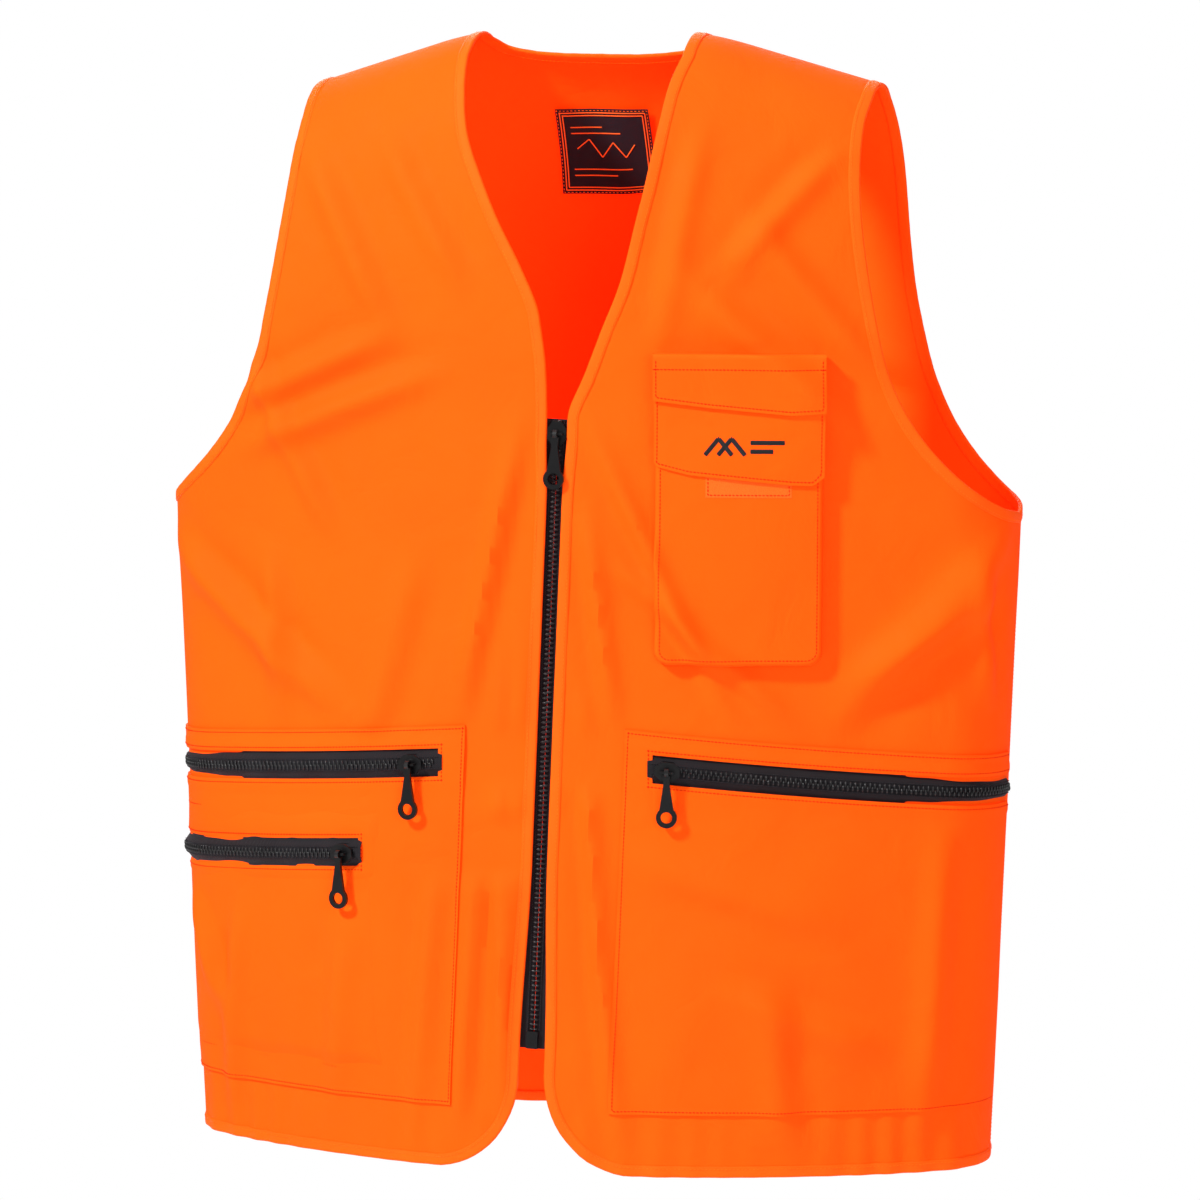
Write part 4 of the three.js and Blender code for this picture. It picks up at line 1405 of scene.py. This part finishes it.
@dataclass
class ZipPocket:
    """A patch pocket with a slanting zip let into it."""

    STUB: ClassVar[int] = 8
    name: str
    node: str
    hand: Hand
    edge: Callable[[float], float]
    top: float
    zip_level: float
    start: float
    bottom: float
    base: float
    bulge: float
    half: float = 9.0
    thick: float = 1.3

    def rise(self, t: Array, v: Array) -> Array:
        """Height of the pocket's face above the smooth body.

        Args:
            t: distances round the body.
            v: levels.

        Returns:
            A height for each place.
        """
        lift = lifted(Face.FRONT, self.hand)
        t = np.abs(t)
        left = self.edge(v)
        right = TORSO.quarters(v)
        d = np.minimum(np.minimum(t - left, (right - t) * 0.7), v - self.bottom)
        d = np.minimum(d, slant(self.top, t) - v)
        mouth = np.abs(v - slant(self.zip_level, t)) - self.half
        puff = self.bulge * smoothstep(6, 60, d) * smoothstep(0, 50, mouth)
        beside_zip = np.where(t > self.start - 2, mouth, 9)
        hem = 0.5 * smoothstep(0, 1.5, beside_zip) * (1 - smoothstep(5.5, 7, mouth))
        ripples = 0.35 * np.sin(t / 9 + np.sin(v / 23)) * smoothstep(3, 30, d) * smoothstep(0, 30, mouth)
        level = 0.15 + (self.base - 0.15) * smoothstep(0, 14, d) * (1 - 0.8 * smoothstep(190, 300, t))
        return level + lift(t, v) + puff + hem + ripples

    def build(self, panel: bpy.types.Object) -> bpy.types.Object:
        """Makes the pocket's face and its stitching.

        Args:
            panel: the front that it is sewn to.

        Returns:
            The pocket's face.
        """
        s = self.hand.value
        sheet = Sheet(self.name, Face.FRONT)
        rows, slot = self._rows()
        sheet.add(rows, lambda i, j: i == slot and j >= self.STUB - 1)
        obj = sheet.build(lambda t, v: self.rise(t, v) + self.thick, lambda t, v: self.rise(t, v) - 0.1, s)
        dress(obj, "cloth")
        self._sew(obj)
        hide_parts(self.node)
        height = lambda t, v: self.rise(t, v) + self.thick + 0.1
        lines = [seam(p, height, Face.FRONT, s) for p in self._seams()]
        stitches = OUTLINE.lay(self.name + "_stitches", lines, "outline")
        self._sew(stitches)
        sheet.declare(obj, Held.LAID, [panel], [stitches])
        return obj

    @staticmethod
    def _side(v: float) -> float:
        """Where the pocket ends beside the side seam, at a level."""
        return TORSO.quarter(v) - 3

    def _rows(self) -> tuple[Array, int]:
        """The grid of the face.

        Returns:
            The grid, and the number of the row of cells that the zip's slot is cut from.
        """
        stub, run = np.linspace(0, 1, self.STUB), np.linspace(0, 1, 72)[1:]

        def row(level_at: Callable[[Array], Array], mid: float) -> Array:
            """One row of places, whose ends are set by the pocket's sides at the level mid."""
            left, right = self.edge(mid), self._side(mid)
            t = np.concatenate([left + (self.start - left) * stub, self.start + (right - self.start) * run])
            return np.stack([t, level_at(t)], -1)

        above, below = self.zip_level + self.half, self.zip_level - self.half
        high = [row(lambda t, k=k: slant(self.top, t) * (1 - k) + slant(above, t) * k, self.top - 20)
                for k in np.linspace(0, 1, 8)]
        low = [row(lambda t, k=k: slant(below, t) * (1 - k) + self.bottom * k,
                   self.zip_level - 20 + (self.bottom - self.zip_level) * k) for k in np.linspace(0, 1, 70)]
        return np.array(high + low), len(high) - 1

    def _seams(self) -> list[Path]:
        """The lines of stitching: the outline, and the box round the zip."""
        head = float(slant(self.top, self.edge(self.top)))
        edge = [(self.edge(v) + 2, v) for v in np.linspace(head - 2, self.bottom + 2, 60)]
        reach = self._side(self.bottom) - 2
        foot = [(t, self.bottom + 2) for t in np.linspace(edge[-1][0], reach, 50)]
        rim = [(t, float(slant(self.top, t)) - 2)
               for t in np.linspace(self.edge(self.top) + 2, self._side(self.top - 15) - 2, 50)]
        box = np.linspace(self.start - 2.5, self._side(self.zip_level - 20) - 1, 50)
        gap = self.half + 2.4
        above, below = ([(t, float(slant(self.zip_level + g, t))) for t in box] for g in (gap, -gap))
        return [edge + foot[1:], rim, above, below, [above[0], below[0]]]

    def _sew(self, obj: bpy.types.Object) -> None:
        """Hangs a piece on the front that the pocket is sewn to.

        Args:
            obj: the piece.
        """
        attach(obj, f"front_{self.hand.word}")


@dataclass
class ChestPouch:
    """The flapped pouch on the wearer's left chest."""

    left: float = 66.0
    right: float = 171.0
    top: float = -199.4
    bottom: float = -395.0
    mouth: float = -208.0
    depth: float = 7.6
    lower_root: float = 2.0
    lower_height: float = 10.6

    def _edge_distance(self, t: Array, v: Array, inset: float = 0.0) -> Array:
        """Distance in from the sides and the rounded foot.

        Args:
            t: distances round the body.
            v: levels.
            inset: how far the edge is moved in.

        Returns:
            A distance for each place, below zero outside.
        """
        r = 10.0
        cx, hx = (self.left + self.right) / 2, (self.right - self.left) / 2 - inset
        dx = np.abs(t - cx) - (hx - r)
        dy = (self.bottom + inset + r) - v
        corner = np.hypot(np.maximum(dx, 0), np.maximum(dy, 0))
        return r - np.where((dx > 0) & (dy > 0), corner, np.maximum(dx, dy))

    def height(self, t: Array, v: Array, inset: float = 0.0) -> Array:
        """Height of the pouch's face above the smooth body.

        Args:
            t: distances round the body.
            v: levels.
            inset: the wall's thickness, for the inner face.

        Returns:
            A height for each place.
        """
        d = self._edge_distance(t, v, inset)
        wall = np.sqrt(np.clip(1 - (1 - np.clip(d / 2.6, 0, 1)) ** 2, 0, 1))
        lift = lifted(Face.FRONT, Hand.LEFT)(t, v)
        soft = 0.5 * smoothstep(4, 40, d) * np.sin((v + 395) / 62) + 0.3 * np.sin(v / 19 + t / 31)
        return 0.3 + lift + (self.depth - inset) * wall + soft * smoothstep(2, 14, d)

    def build(self, panel: bpy.types.Object) -> None:
        """Makes the pouch, its patch, its flaps and their stitching.

        Args:
            panel: the front that they are sewn to.
        """
        bag = self._bag(panel)
        self._patch(bag)
        self._flap("chest_flap_lower", "lower_flap", self.lower_root,
                   [(66, -267), (67.5, -270), (88, -275), (150, -281), (164, -281.5), (171, -276)],
                   self.lower_height, panel, [self._mark()])
        self._flap("chest_flap_upper", "upper_flap", 11.2,
                   [(65.5, -229), (100, -233), (150, -237.5), (171.5, -236)], 12.9, panel)

    def _bag(self, panel: bpy.types.Object) -> bpy.types.Object:
        """The pouch itself, with its rounded foot.

        Args:
            panel: the front that it is sewn to.

        Returns:
            The pouch.
        """
        ts = self._crowded(self.left, self.right, 50)
        vs = -self._crowded(-self.mouth, -self.bottom, 80, both=False)
        grid = np.stack(np.meshgrid(ts, vs), -1)
        sheet = Sheet("chest_pouch_cloth", Face.FRONT)
        middle = (grid[:-1, :-1] + grid[1:, 1:]) / 2
        outside = self._edge_distance(middle[..., 0], middle[..., 1]) < 0
        sheet.add(grid, lambda i, j: bool(outside[i, j]))
        obj = sheet.build(lambda t, v: self.height(t, v) + 0.5,
                          lambda t, v: np.minimum(self.height(t, v, 1.3), self.height(t, v) - 0.3) - 0.2)
        dress(obj, "cloth")
        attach(obj, "front_left")
        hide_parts("chest_pouch")
        height = lambda t, v: self.height(t, v) + 0.6
        r, d = 10.0, 4.0
        corner = lambda cx, a0, a1: [(cx + (r - d) * math.cos(a), self.bottom + r + (r - d) * math.sin(a))
                                     for a in np.radians(np.linspace(a0, a1, 8))]
        path = [(self.left + d, self.mouth), *corner(self.left + r, 180, 270),
                *corner(self.right - r, 270, 360), (self.right - d, self.mouth)]
        stitches = OUTLINE.lay("chest_pouch_stitches", [seam(path, height, Face.FRONT)], "outline")
        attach(stitches, "front_left")
        sheet.declare(obj, Held.LAID, [panel], [stitches])
        return obj

    @staticmethod
    def _crowded(a: float, b: float, count: int, both: bool = True) -> Array:
        """Numbers that crowd together at one or both ends.

        Args:
            a: the first.
            b: the last, where they always crowd.
            count: how many.
            both: whether they crowd at the first end too.

        Returns:
            The numbers.
        """
        k = np.linspace(0, 1, count)
        ease = 0.5 - 0.5 * np.cos(math.pi * k) if both else np.sin(math.pi / 2 * k)
        return a + (b - a) * (0.35 * k + 0.65 * ease)

    def _patch(self, bag: bpy.types.Object) -> None:
        """The hook tape under the lower flap.

        Args:
            bag: the pouch that it is sewn to.
        """
        sheet = Sheet("hook_patch_cloth", Face.FRONT)
        t0, t1, v0, v1 = 98.0, 151.0, -289.0, -262.0
        sheet.add(rectangle(t0, t1, v0, v1, 20, 34))
        high = lambda t, v: self.height(t, v) + 0.75
        obj = sheet.build(high, lambda t, v: high(t, v) - 0.5)
        dress(obj, "hook")
        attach(obj, "front_left")
        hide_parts("hook_patch")
        d = 1.6
        path = [(t0 + d, v1 - d), (t0 + d, v0 + d), (t1 - d, v0 + d), (t1 - d, v1 - d)]
        line = seam(path, lambda t, v: high(t, v) + 0.1, Face.FRONT)
        stitches = OUTLINE.lay("hook_patch_stitches", [line], "outline")
        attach(stitches, "front_left")
        sheet.declare(obj, Held.LAID, [bag], [stitches])

    def _flap_height(self, t: Array, v: Array, root: float, height: float, inset: float = 0.0) -> Array:
        """Height of a flap that bends out of its top seam and hangs over the pouch.

        Args:
            t: distances round the body.
            v: levels.
            root: how far its top edge stands off the front.
            height: how far its face stands off the front.
            inset: the cloth's thickness, for the inner face.

        Returns:
            A height for each place.
        """
        top = self.top
        k = np.clip((top - inset - v) / 3.4, 0, 1)
        bend = np.sqrt(np.clip(1 - (1 - k) ** 2, 0, 1))
        sag = 0.5 * np.sin(t / 17 + 0.6) * smoothstep(top - 12, top - 60, v)
        curl = -0.9 * smoothstep(10, 0, t - self.left) * smoothstep(top - 10, top - 50, v)
        lift = lifted(Face.FRONT, Hand.LEFT)(t, v)
        return root + lift + (height - root - inset) * bend + sag + curl

    def _mark(self) -> bpy.types.Object:
        """A plain mark of stitched chevrons and bars on the lower flap.

        Returns:
            The stitching.
        """
        face = lambda t, v: self._flap_height(t, v, self.lower_root, self.lower_height) + 0.3
        rows = [[(98, -262), (106, -252), (114, -262)], [(106, -262), (114, -252), (122, -262)],
                [(126, -254.5), (146, -254.5)], [(126, -260), (139, -260)]]
        thread = Row(0.7, (1.4, 3.8, 0.5), rounded=1)
        mark = thread.lay("flap_mark", [seam(p, face, Face.FRONT, 1.0, 0.7) for p in rows], "mark")
        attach(mark, "lower_flap")
        return mark

    def _flap(self, node: str, body: str, root: float, foot: Path, height: float, panel: bpy.types.Object,
              carries: Sequence[bpy.types.Object] = ()) -> None:
        """One flap, bent over at its top seam.

        Args:
            node: the solid that it replaces.
            body: the body that it rides on.
            root: how far its top edge stands off the front.
            foot: its lower edge, towards the wearer's left.
            height: how far its face stands off the front.
            panel: the front that it hangs from.
            carries: what is sewn to it.
        """
        left, right, top = foot[0][0], foot[-1][0], self.top
        crown, columns = 23, 44
        fold = [(left, top - 0.2 * crown), (right, top - 0.2 * crown)]
        sheet = Sheet(f"{node}_cloth", Face.FRONT)
        sheet.add(rectangle(left, right, fold[0][1], top, crown, columns))
        sheet.add(coons(fold, foot, [fold[0], foot[0]], [fold[1], foot[-1]], 26, columns))
        rise = lambda t, v, inset=0.0: self._flap_height(t, v, root, height, inset)
        obj = sheet.build(lambda t, v: rise(t, v) + 0.2,
                          lambda t, v: np.minimum(rise(t, v, 0.9), rise(t, v) - 0.2) - 0.1)
        dress(obj, "cloth")
        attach(obj, body)
        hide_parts(node)
        over = lambda t, v: rise(t, v) + 0.35
        low = [(t, v + 2.2) for t, v in foot]
        low[0], low[-1] = (left + 2, low[0][1]), (right - 2, low[-1][1])
        path = [(left + 2, top - 5), *low, (right - 2, top - 5)]
        lines = [path, [(left + 1, top - 9.5), (right - 1, top - 9.5)]] if body == "upper_flap" else [path]
        lines = [seam(p, over, Face.FRONT) for p in lines]
        stitches = OUTLINE.lay(f"{node}_cloth_stitches", lines, "outline")
        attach(stitches, body)
        sheet.declare(obj, Held.HUNG, [panel], [*carries, stitches])


# ---- zips --------------------------------------------------------------------------------
TOOTH = Row(3.1, (1.75, 4.4, 2.5), rounded=1)
CORD = Row(1.6, (1.9, 0.9, 0.8), rounded=1)
TAPE_WIDTH = 22.0


@dataclass
class PocketZip:
    """Tape and teeth of a pocket zip."""

    name: str
    hand: Hand
    level: float
    start: float
    base: float
    sink: float = 2.0
    dip: float = 2.9
    stop: float = 0.5

    def _line(self, w: float, n: float, first: float = 0.0) -> tuple[Array, Array]:
        """A line beside the middle of the zip.

        Args:
            w: distance above the middle.
            n: height above the smooth body.
            first: distance from the start of the zip.

        Returns:
            Points and outward directions.
        """
        t = np.arange(self.start + first, TORSO.quarter(self.level - 20) - self.stop - 1, 2.0)
        v = slant(self.level, t) + w
        flip = np.array([self.hand.value, 1, 1])
        return TORSO.at(t, v, n - self._sink(t), Face.FRONT) * flip, TORSO.normals(t, v, Face.FRONT) * flip

    def build(self, pocket: bpy.types.Object) -> None:
        """Makes the tape and both rows of teeth.

        Args:
            pocket: the pocket's face that the zip is sewn into.
        """
        n = self.base + 3.4
        sheet = Sheet(f"{self.name}_tape_cloth", Face.FRONT)
        t = np.arange(self.start - 3, TORSO.quarter(self.level - 20) - self.stop, 3.0)
        half = TAPE_WIDTH / 2
        centre = slant(self.level, t)
        sheet.add(np.array([np.stack([t, centre + w], -1) for w in np.linspace(half, -half, 23)]))
        edge = lambda t, v: self.dip * smoothstep(3, 8.4, np.abs(v - slant(self.level, t)))
        dip = lambda t, v: n - self._sink(t) - edge(t, v) - 0.15 * np.sin(t / 5)
        obj = sheet.build(dip, lambda t, v: dip(t, v) - 0.6, self.hand.value)
        dress(obj, "tape")
        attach(obj, f"front_{self.hand.word}")
        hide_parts(f"{self.name}_tape")
        rows = [self._line(w, n + 0.35, first) for w, first in ((1.15, 3.0), (-1.15, 4.55))]
        teeth = TOOTH.lay(f"{self.name}_teeth", rows, "teeth")
        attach(teeth, f"front_{self.hand.word}")
        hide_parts(f"{self.name}_chain")
        cord = CORD.lay(f"{self.name}_cord", [self._line(w, n + 0.1) for w in (3.7, -3.7)], "tape")
        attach(cord, f"front_{self.hand.word}")
        sheet.declare(obj, Held.STRETCHED, [pocket], [teeth, cord], TAPE_WIDTH)

    def _sink(self, t: Array) -> Array:
        """How much closer the zip lies to the body towards the side seam, at each place."""
        return self.sink * smoothstep(195, 300, np.abs(t))


@dataclass
class FrontZip:
    """Tapes, teeth and cords of the front zip; its retaining box stays the solid's own part."""

    def build(self, panels: dict[Hand, bpy.types.Object]) -> None:
        """Makes both halves.

        Args:
            panels: the fronts that the halves are sewn to; not used.
        """
        head, foot = self._at(ZIP_TOP), self._at(ZIP_BOTTOM)
        up = (head - foot) / np.linalg.norm(head - foot)
        out = np.array([0, -1, 0]) - up * (-up[1])
        out /= np.linalg.norm(out)
        across = np.cross(out, up)
        across *= np.sign(across[0])
        length = float(np.linalg.norm(head - foot))
        for hand in Hand:
            s = hand.value
            tape = self._tape(hand, head, up, out, across, length)
            first = 1.0 if s > 0 else 2.55
            run = np.arange(first, length - 11, 1.55)
            line = head + across * s * 1.15 - up * run[:, None] + out * -2.4
            teeth = TOOTH.lay(f"zip_teeth_{hand.word}", [(line, np.tile(out, (len(run), 1)))], "teeth")
            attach(teeth, f"front_{hand.word}")
            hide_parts(f"zip_chain_{hand.word}")
            line = head + across * s * 3.9 - up * run[:, None] + out * -2.7
            cord = CORD.lay(f"zip_cord_{hand.word}", [(line, np.tile(out, (len(run), 1)))], "tape")
            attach(cord, f"front_{hand.word}")

    @staticmethod
    def _at(v: float) -> Array:
        """The front of the smooth body on the zip's centre line, at a level."""
        share = (v - TORSO.hem) / (TORSO.roll_level - TORSO.hem)
        depth = TORSO.hem_half_depth + (TORSO.chest_half_depth - TORSO.hem_half_depth) * min(share, 1)
        return np.array([zip_x(v), -depth, v])

    def _tape(self, hand: Hand, head: Array, up: Array, out: Array, across: Array,
              length: float) -> bpy.types.Object:
        """Half of the zip's tape, with a slight sway.

        Args:
            hand: which half.
            head: the top of the zip.
            up: direction up the zip.
            out: direction out of the cloth.
            across: direction to the wearer's left.
            length: length of the zip.

        Returns:
            The tape.
        """
        s = hand.value
        widths = np.array([0.15, 1.6, 3.4, 5.0, 7.5, 11.0, 15.0, 17.0])
        drops = np.linspace(0, length, 140)
        sway = 0.25 * np.sin(drops / 11)
        w, d, q = widths[None, :, None], drops[:, None, None], sway[:, None, None]
        lean = -0.02 * np.maximum(w - 4, 0) + q * (w > 4)
        points = np.concatenate([(head + across * s * w - up * d + out * (n + lean)).reshape(-1, 3)
                                 for n in (-3.4, -4.0)])
        cols = len(widths)
        starts = [i * cols + j for i in range(len(drops) - 1) for j in range(cols - 1)]
        polys = shell([(a, a + cols, a + cols + 1, a + 1) for a in starts], len(drops) * cols)
        if s < 0:
            polys = [tuple(reversed(p)) for p in polys]
        uv = np.array([[w, -d] for _ in range(2) for d in drops for w in widths]) * MM
        obj = mesh_object(f"zip_tape_{hand.word}_cloth", points, polys, uv)
        dress(obj, "tape")
        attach(obj, f"front_{hand.word}")
        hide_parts(f"zip_tape_{hand.word}")
        return obj


@dataclass
class Hardware:
    """Moulded parts kept from the solids: sliders, pulls and the front zip's box."""

    nodes: dict[str, bpy.types.Object]

    def build(self) -> None:
        """Dresses each kept node."""
        for name, obj in self.nodes.items():
            if name.endswith(("slider", "pull", "zip_box")):
                obj.data.materials.clear()
                obj.data.materials.append(material("pull"))
                LOG.info("dressed %s", name)


# ---- the room ----------------------------------------------------------------------------
@dataclass(frozen=True)
class Studio:
    """Camera, floor and soft lights."""

    azimuth: float = 14.5
    elevation: float = 6.5
    distance: float = 3.71
    aim: tuple[float, float, float] = (0.0047, 0.0, -0.3669)
    width: float = 0.7743
    ambient: float = 0.3

    def build(self) -> None:
        """Sets the camera, the floor, the lights and the world."""
        scene = bpy.context.scene
        a, e = math.radians(self.azimuth), math.radians(self.elevation)
        back = Vector((math.sin(a) * math.cos(e), -math.cos(a) * math.cos(e), math.sin(e)))
        camera = bpy.data.objects.new("camera", bpy.data.cameras.new("camera"))
        camera.data.sensor_width = 36
        camera.data.lens = 36 * self.distance / self.width
        camera.location = Vector(self.aim) + back * self.distance
        camera.rotation_euler = back.to_track_quat("Z", "Y").to_euler()
        scene.collection.objects.link(camera)
        scene.camera = camera
        reach, level = 2300, -1350
        corners = [[x * reach, y * reach, level] for x, y in ((-1, -1), (1, -1), (1, 1), (-1, 1))]
        floor = mesh_object("floor", np.array(corners), [(0, 1, 2, 3)])
        mat = bpy.data.materials.new("floor")
        mat.use_nodes = True
        mat.node_tree.nodes["Principled BSDF"].inputs["Base Color"].default_value = (0.95, 0.95, 0.95, 1)
        mat.node_tree.nodes["Principled BSDF"].inputs["Roughness"].default_value = 0.9
        floor.data.materials.append(mat)
        lights = [self._light("key", (-1.6, -2.0, 1.8), 0.4, 132.0),
                  self._light("front", (1.5, -2.6, 0.2), 1.2, 24.0),
                  self._light("top", (0.2, 0.2, 1.8), 1.4, 10.0),
                  self._light("back", (-0.8, 2.6, 0.8), 1.6, 60.0)]
        scene.view_settings.view_transform = "Standard"
        world = bpy.data.worlds.new("world")
        world.use_nodes = True
        self._sky(world.node_tree)
        scene.world = world

    def _sky(self, tree: bpy.types.NodeTree) -> None:
        """A white backdrop that lights the vest more softly than it looks.

        Args:
            tree: the world's nodes.
        """
        seen = tree.nodes["Background"]
        seen.inputs["Color"].default_value = (1, 1, 1, 1)
        seen.inputs["Strength"].default_value = 1.0
        felt = tree.nodes.new("ShaderNodeBackground")
        felt.inputs["Color"].default_value = (1, 1, 1, 1)
        felt.inputs["Strength"].default_value = self.ambient
        pick = tree.nodes.new("ShaderNodeMixShader")
        ray = tree.nodes.new("ShaderNodeLightPath")
        tree.links.new(ray.outputs["Is Camera Ray"], pick.inputs["Fac"])
        tree.links.new(felt.outputs[0], pick.inputs[1])
        tree.links.new(seen.outputs[0], pick.inputs[2])
        tree.links.new(pick.outputs[0], tree.nodes["World Output"].inputs["Surface"])

    @staticmethod
    def _light(name: str, place: tuple[float, float, float], size: float, power: float) -> bpy.types.Object:
        """A square soft light that faces the vest.

        Args:
            name: its name.
            place: where it stands, in metres.
            size: its side, in metres.
            power: its power, in watts.

        Returns:
            The light.
        """
        data = bpy.data.lights.new(name, "AREA")
        data.size, data.energy = size, power
        obj = bpy.data.objects.new(name, data)
        obj.location = place
        obj.rotation_euler = (Vector(place) - Vector((0, 0, -0.35))).to_track_quat("Z", "Y").to_euler()
        bpy.context.scene.collection.objects.link(obj)
        return obj


# ---- the whole ---------------------------------------------------------------------------
def pocket_edge(hand: Hand) -> Callable[[float], float]:
    """The seam line of a big pocket beside the front zip.

    Args:
        hand: which front.

    Returns:
        The line's place as a function of level.
    """
    return lambda v: 52 + hand.value * zip_x(v)


def main() -> None:
    """Builds the whole vest."""
    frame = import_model()
    back = Back().build()
    panels = {hand: FrontPanel(hand).build(back) for hand in Hand}
    for hand, panel in panels.items():
        edge = pocket_edge(hand)
        start = edge(POCKET_ZIP) + 18
        pocket = ZipPocket(f"pocket_{hand.word}_cloth", f"pocket_{hand.word}", hand, edge, top=-432,
                           zip_level=POCKET_ZIP, start=start, bottom=-680, base=0.5, bulge=2.2).build(panel)
        PocketZip(f"pocket_{hand.word}_zip", hand, POCKET_ZIP, start, base=0.0).build(pocket)
    pocket = ZipPocket("small_pocket_cloth", "small_pocket", Hand.RIGHT, lambda v: 108.0, top=-480,
                       zip_level=SMALL_ZIP, start=130, bottom=-664, base=3.0,
                       bulge=1.2).build(panels[Hand.RIGHT])
    PocketZip("small_pocket_zip", Hand.RIGHT, SMALL_ZIP, 130, base=3.8, sink=2.6, dip=3.0,
              stop=14.0).build(pocket)
    ChestPouch().build(panels[Hand.LEFT])
    FrontZip().build(panels)
    Hardware(frame["nodes"]).build()
    Studio().build()


if __name__ == "__main__":
    main()
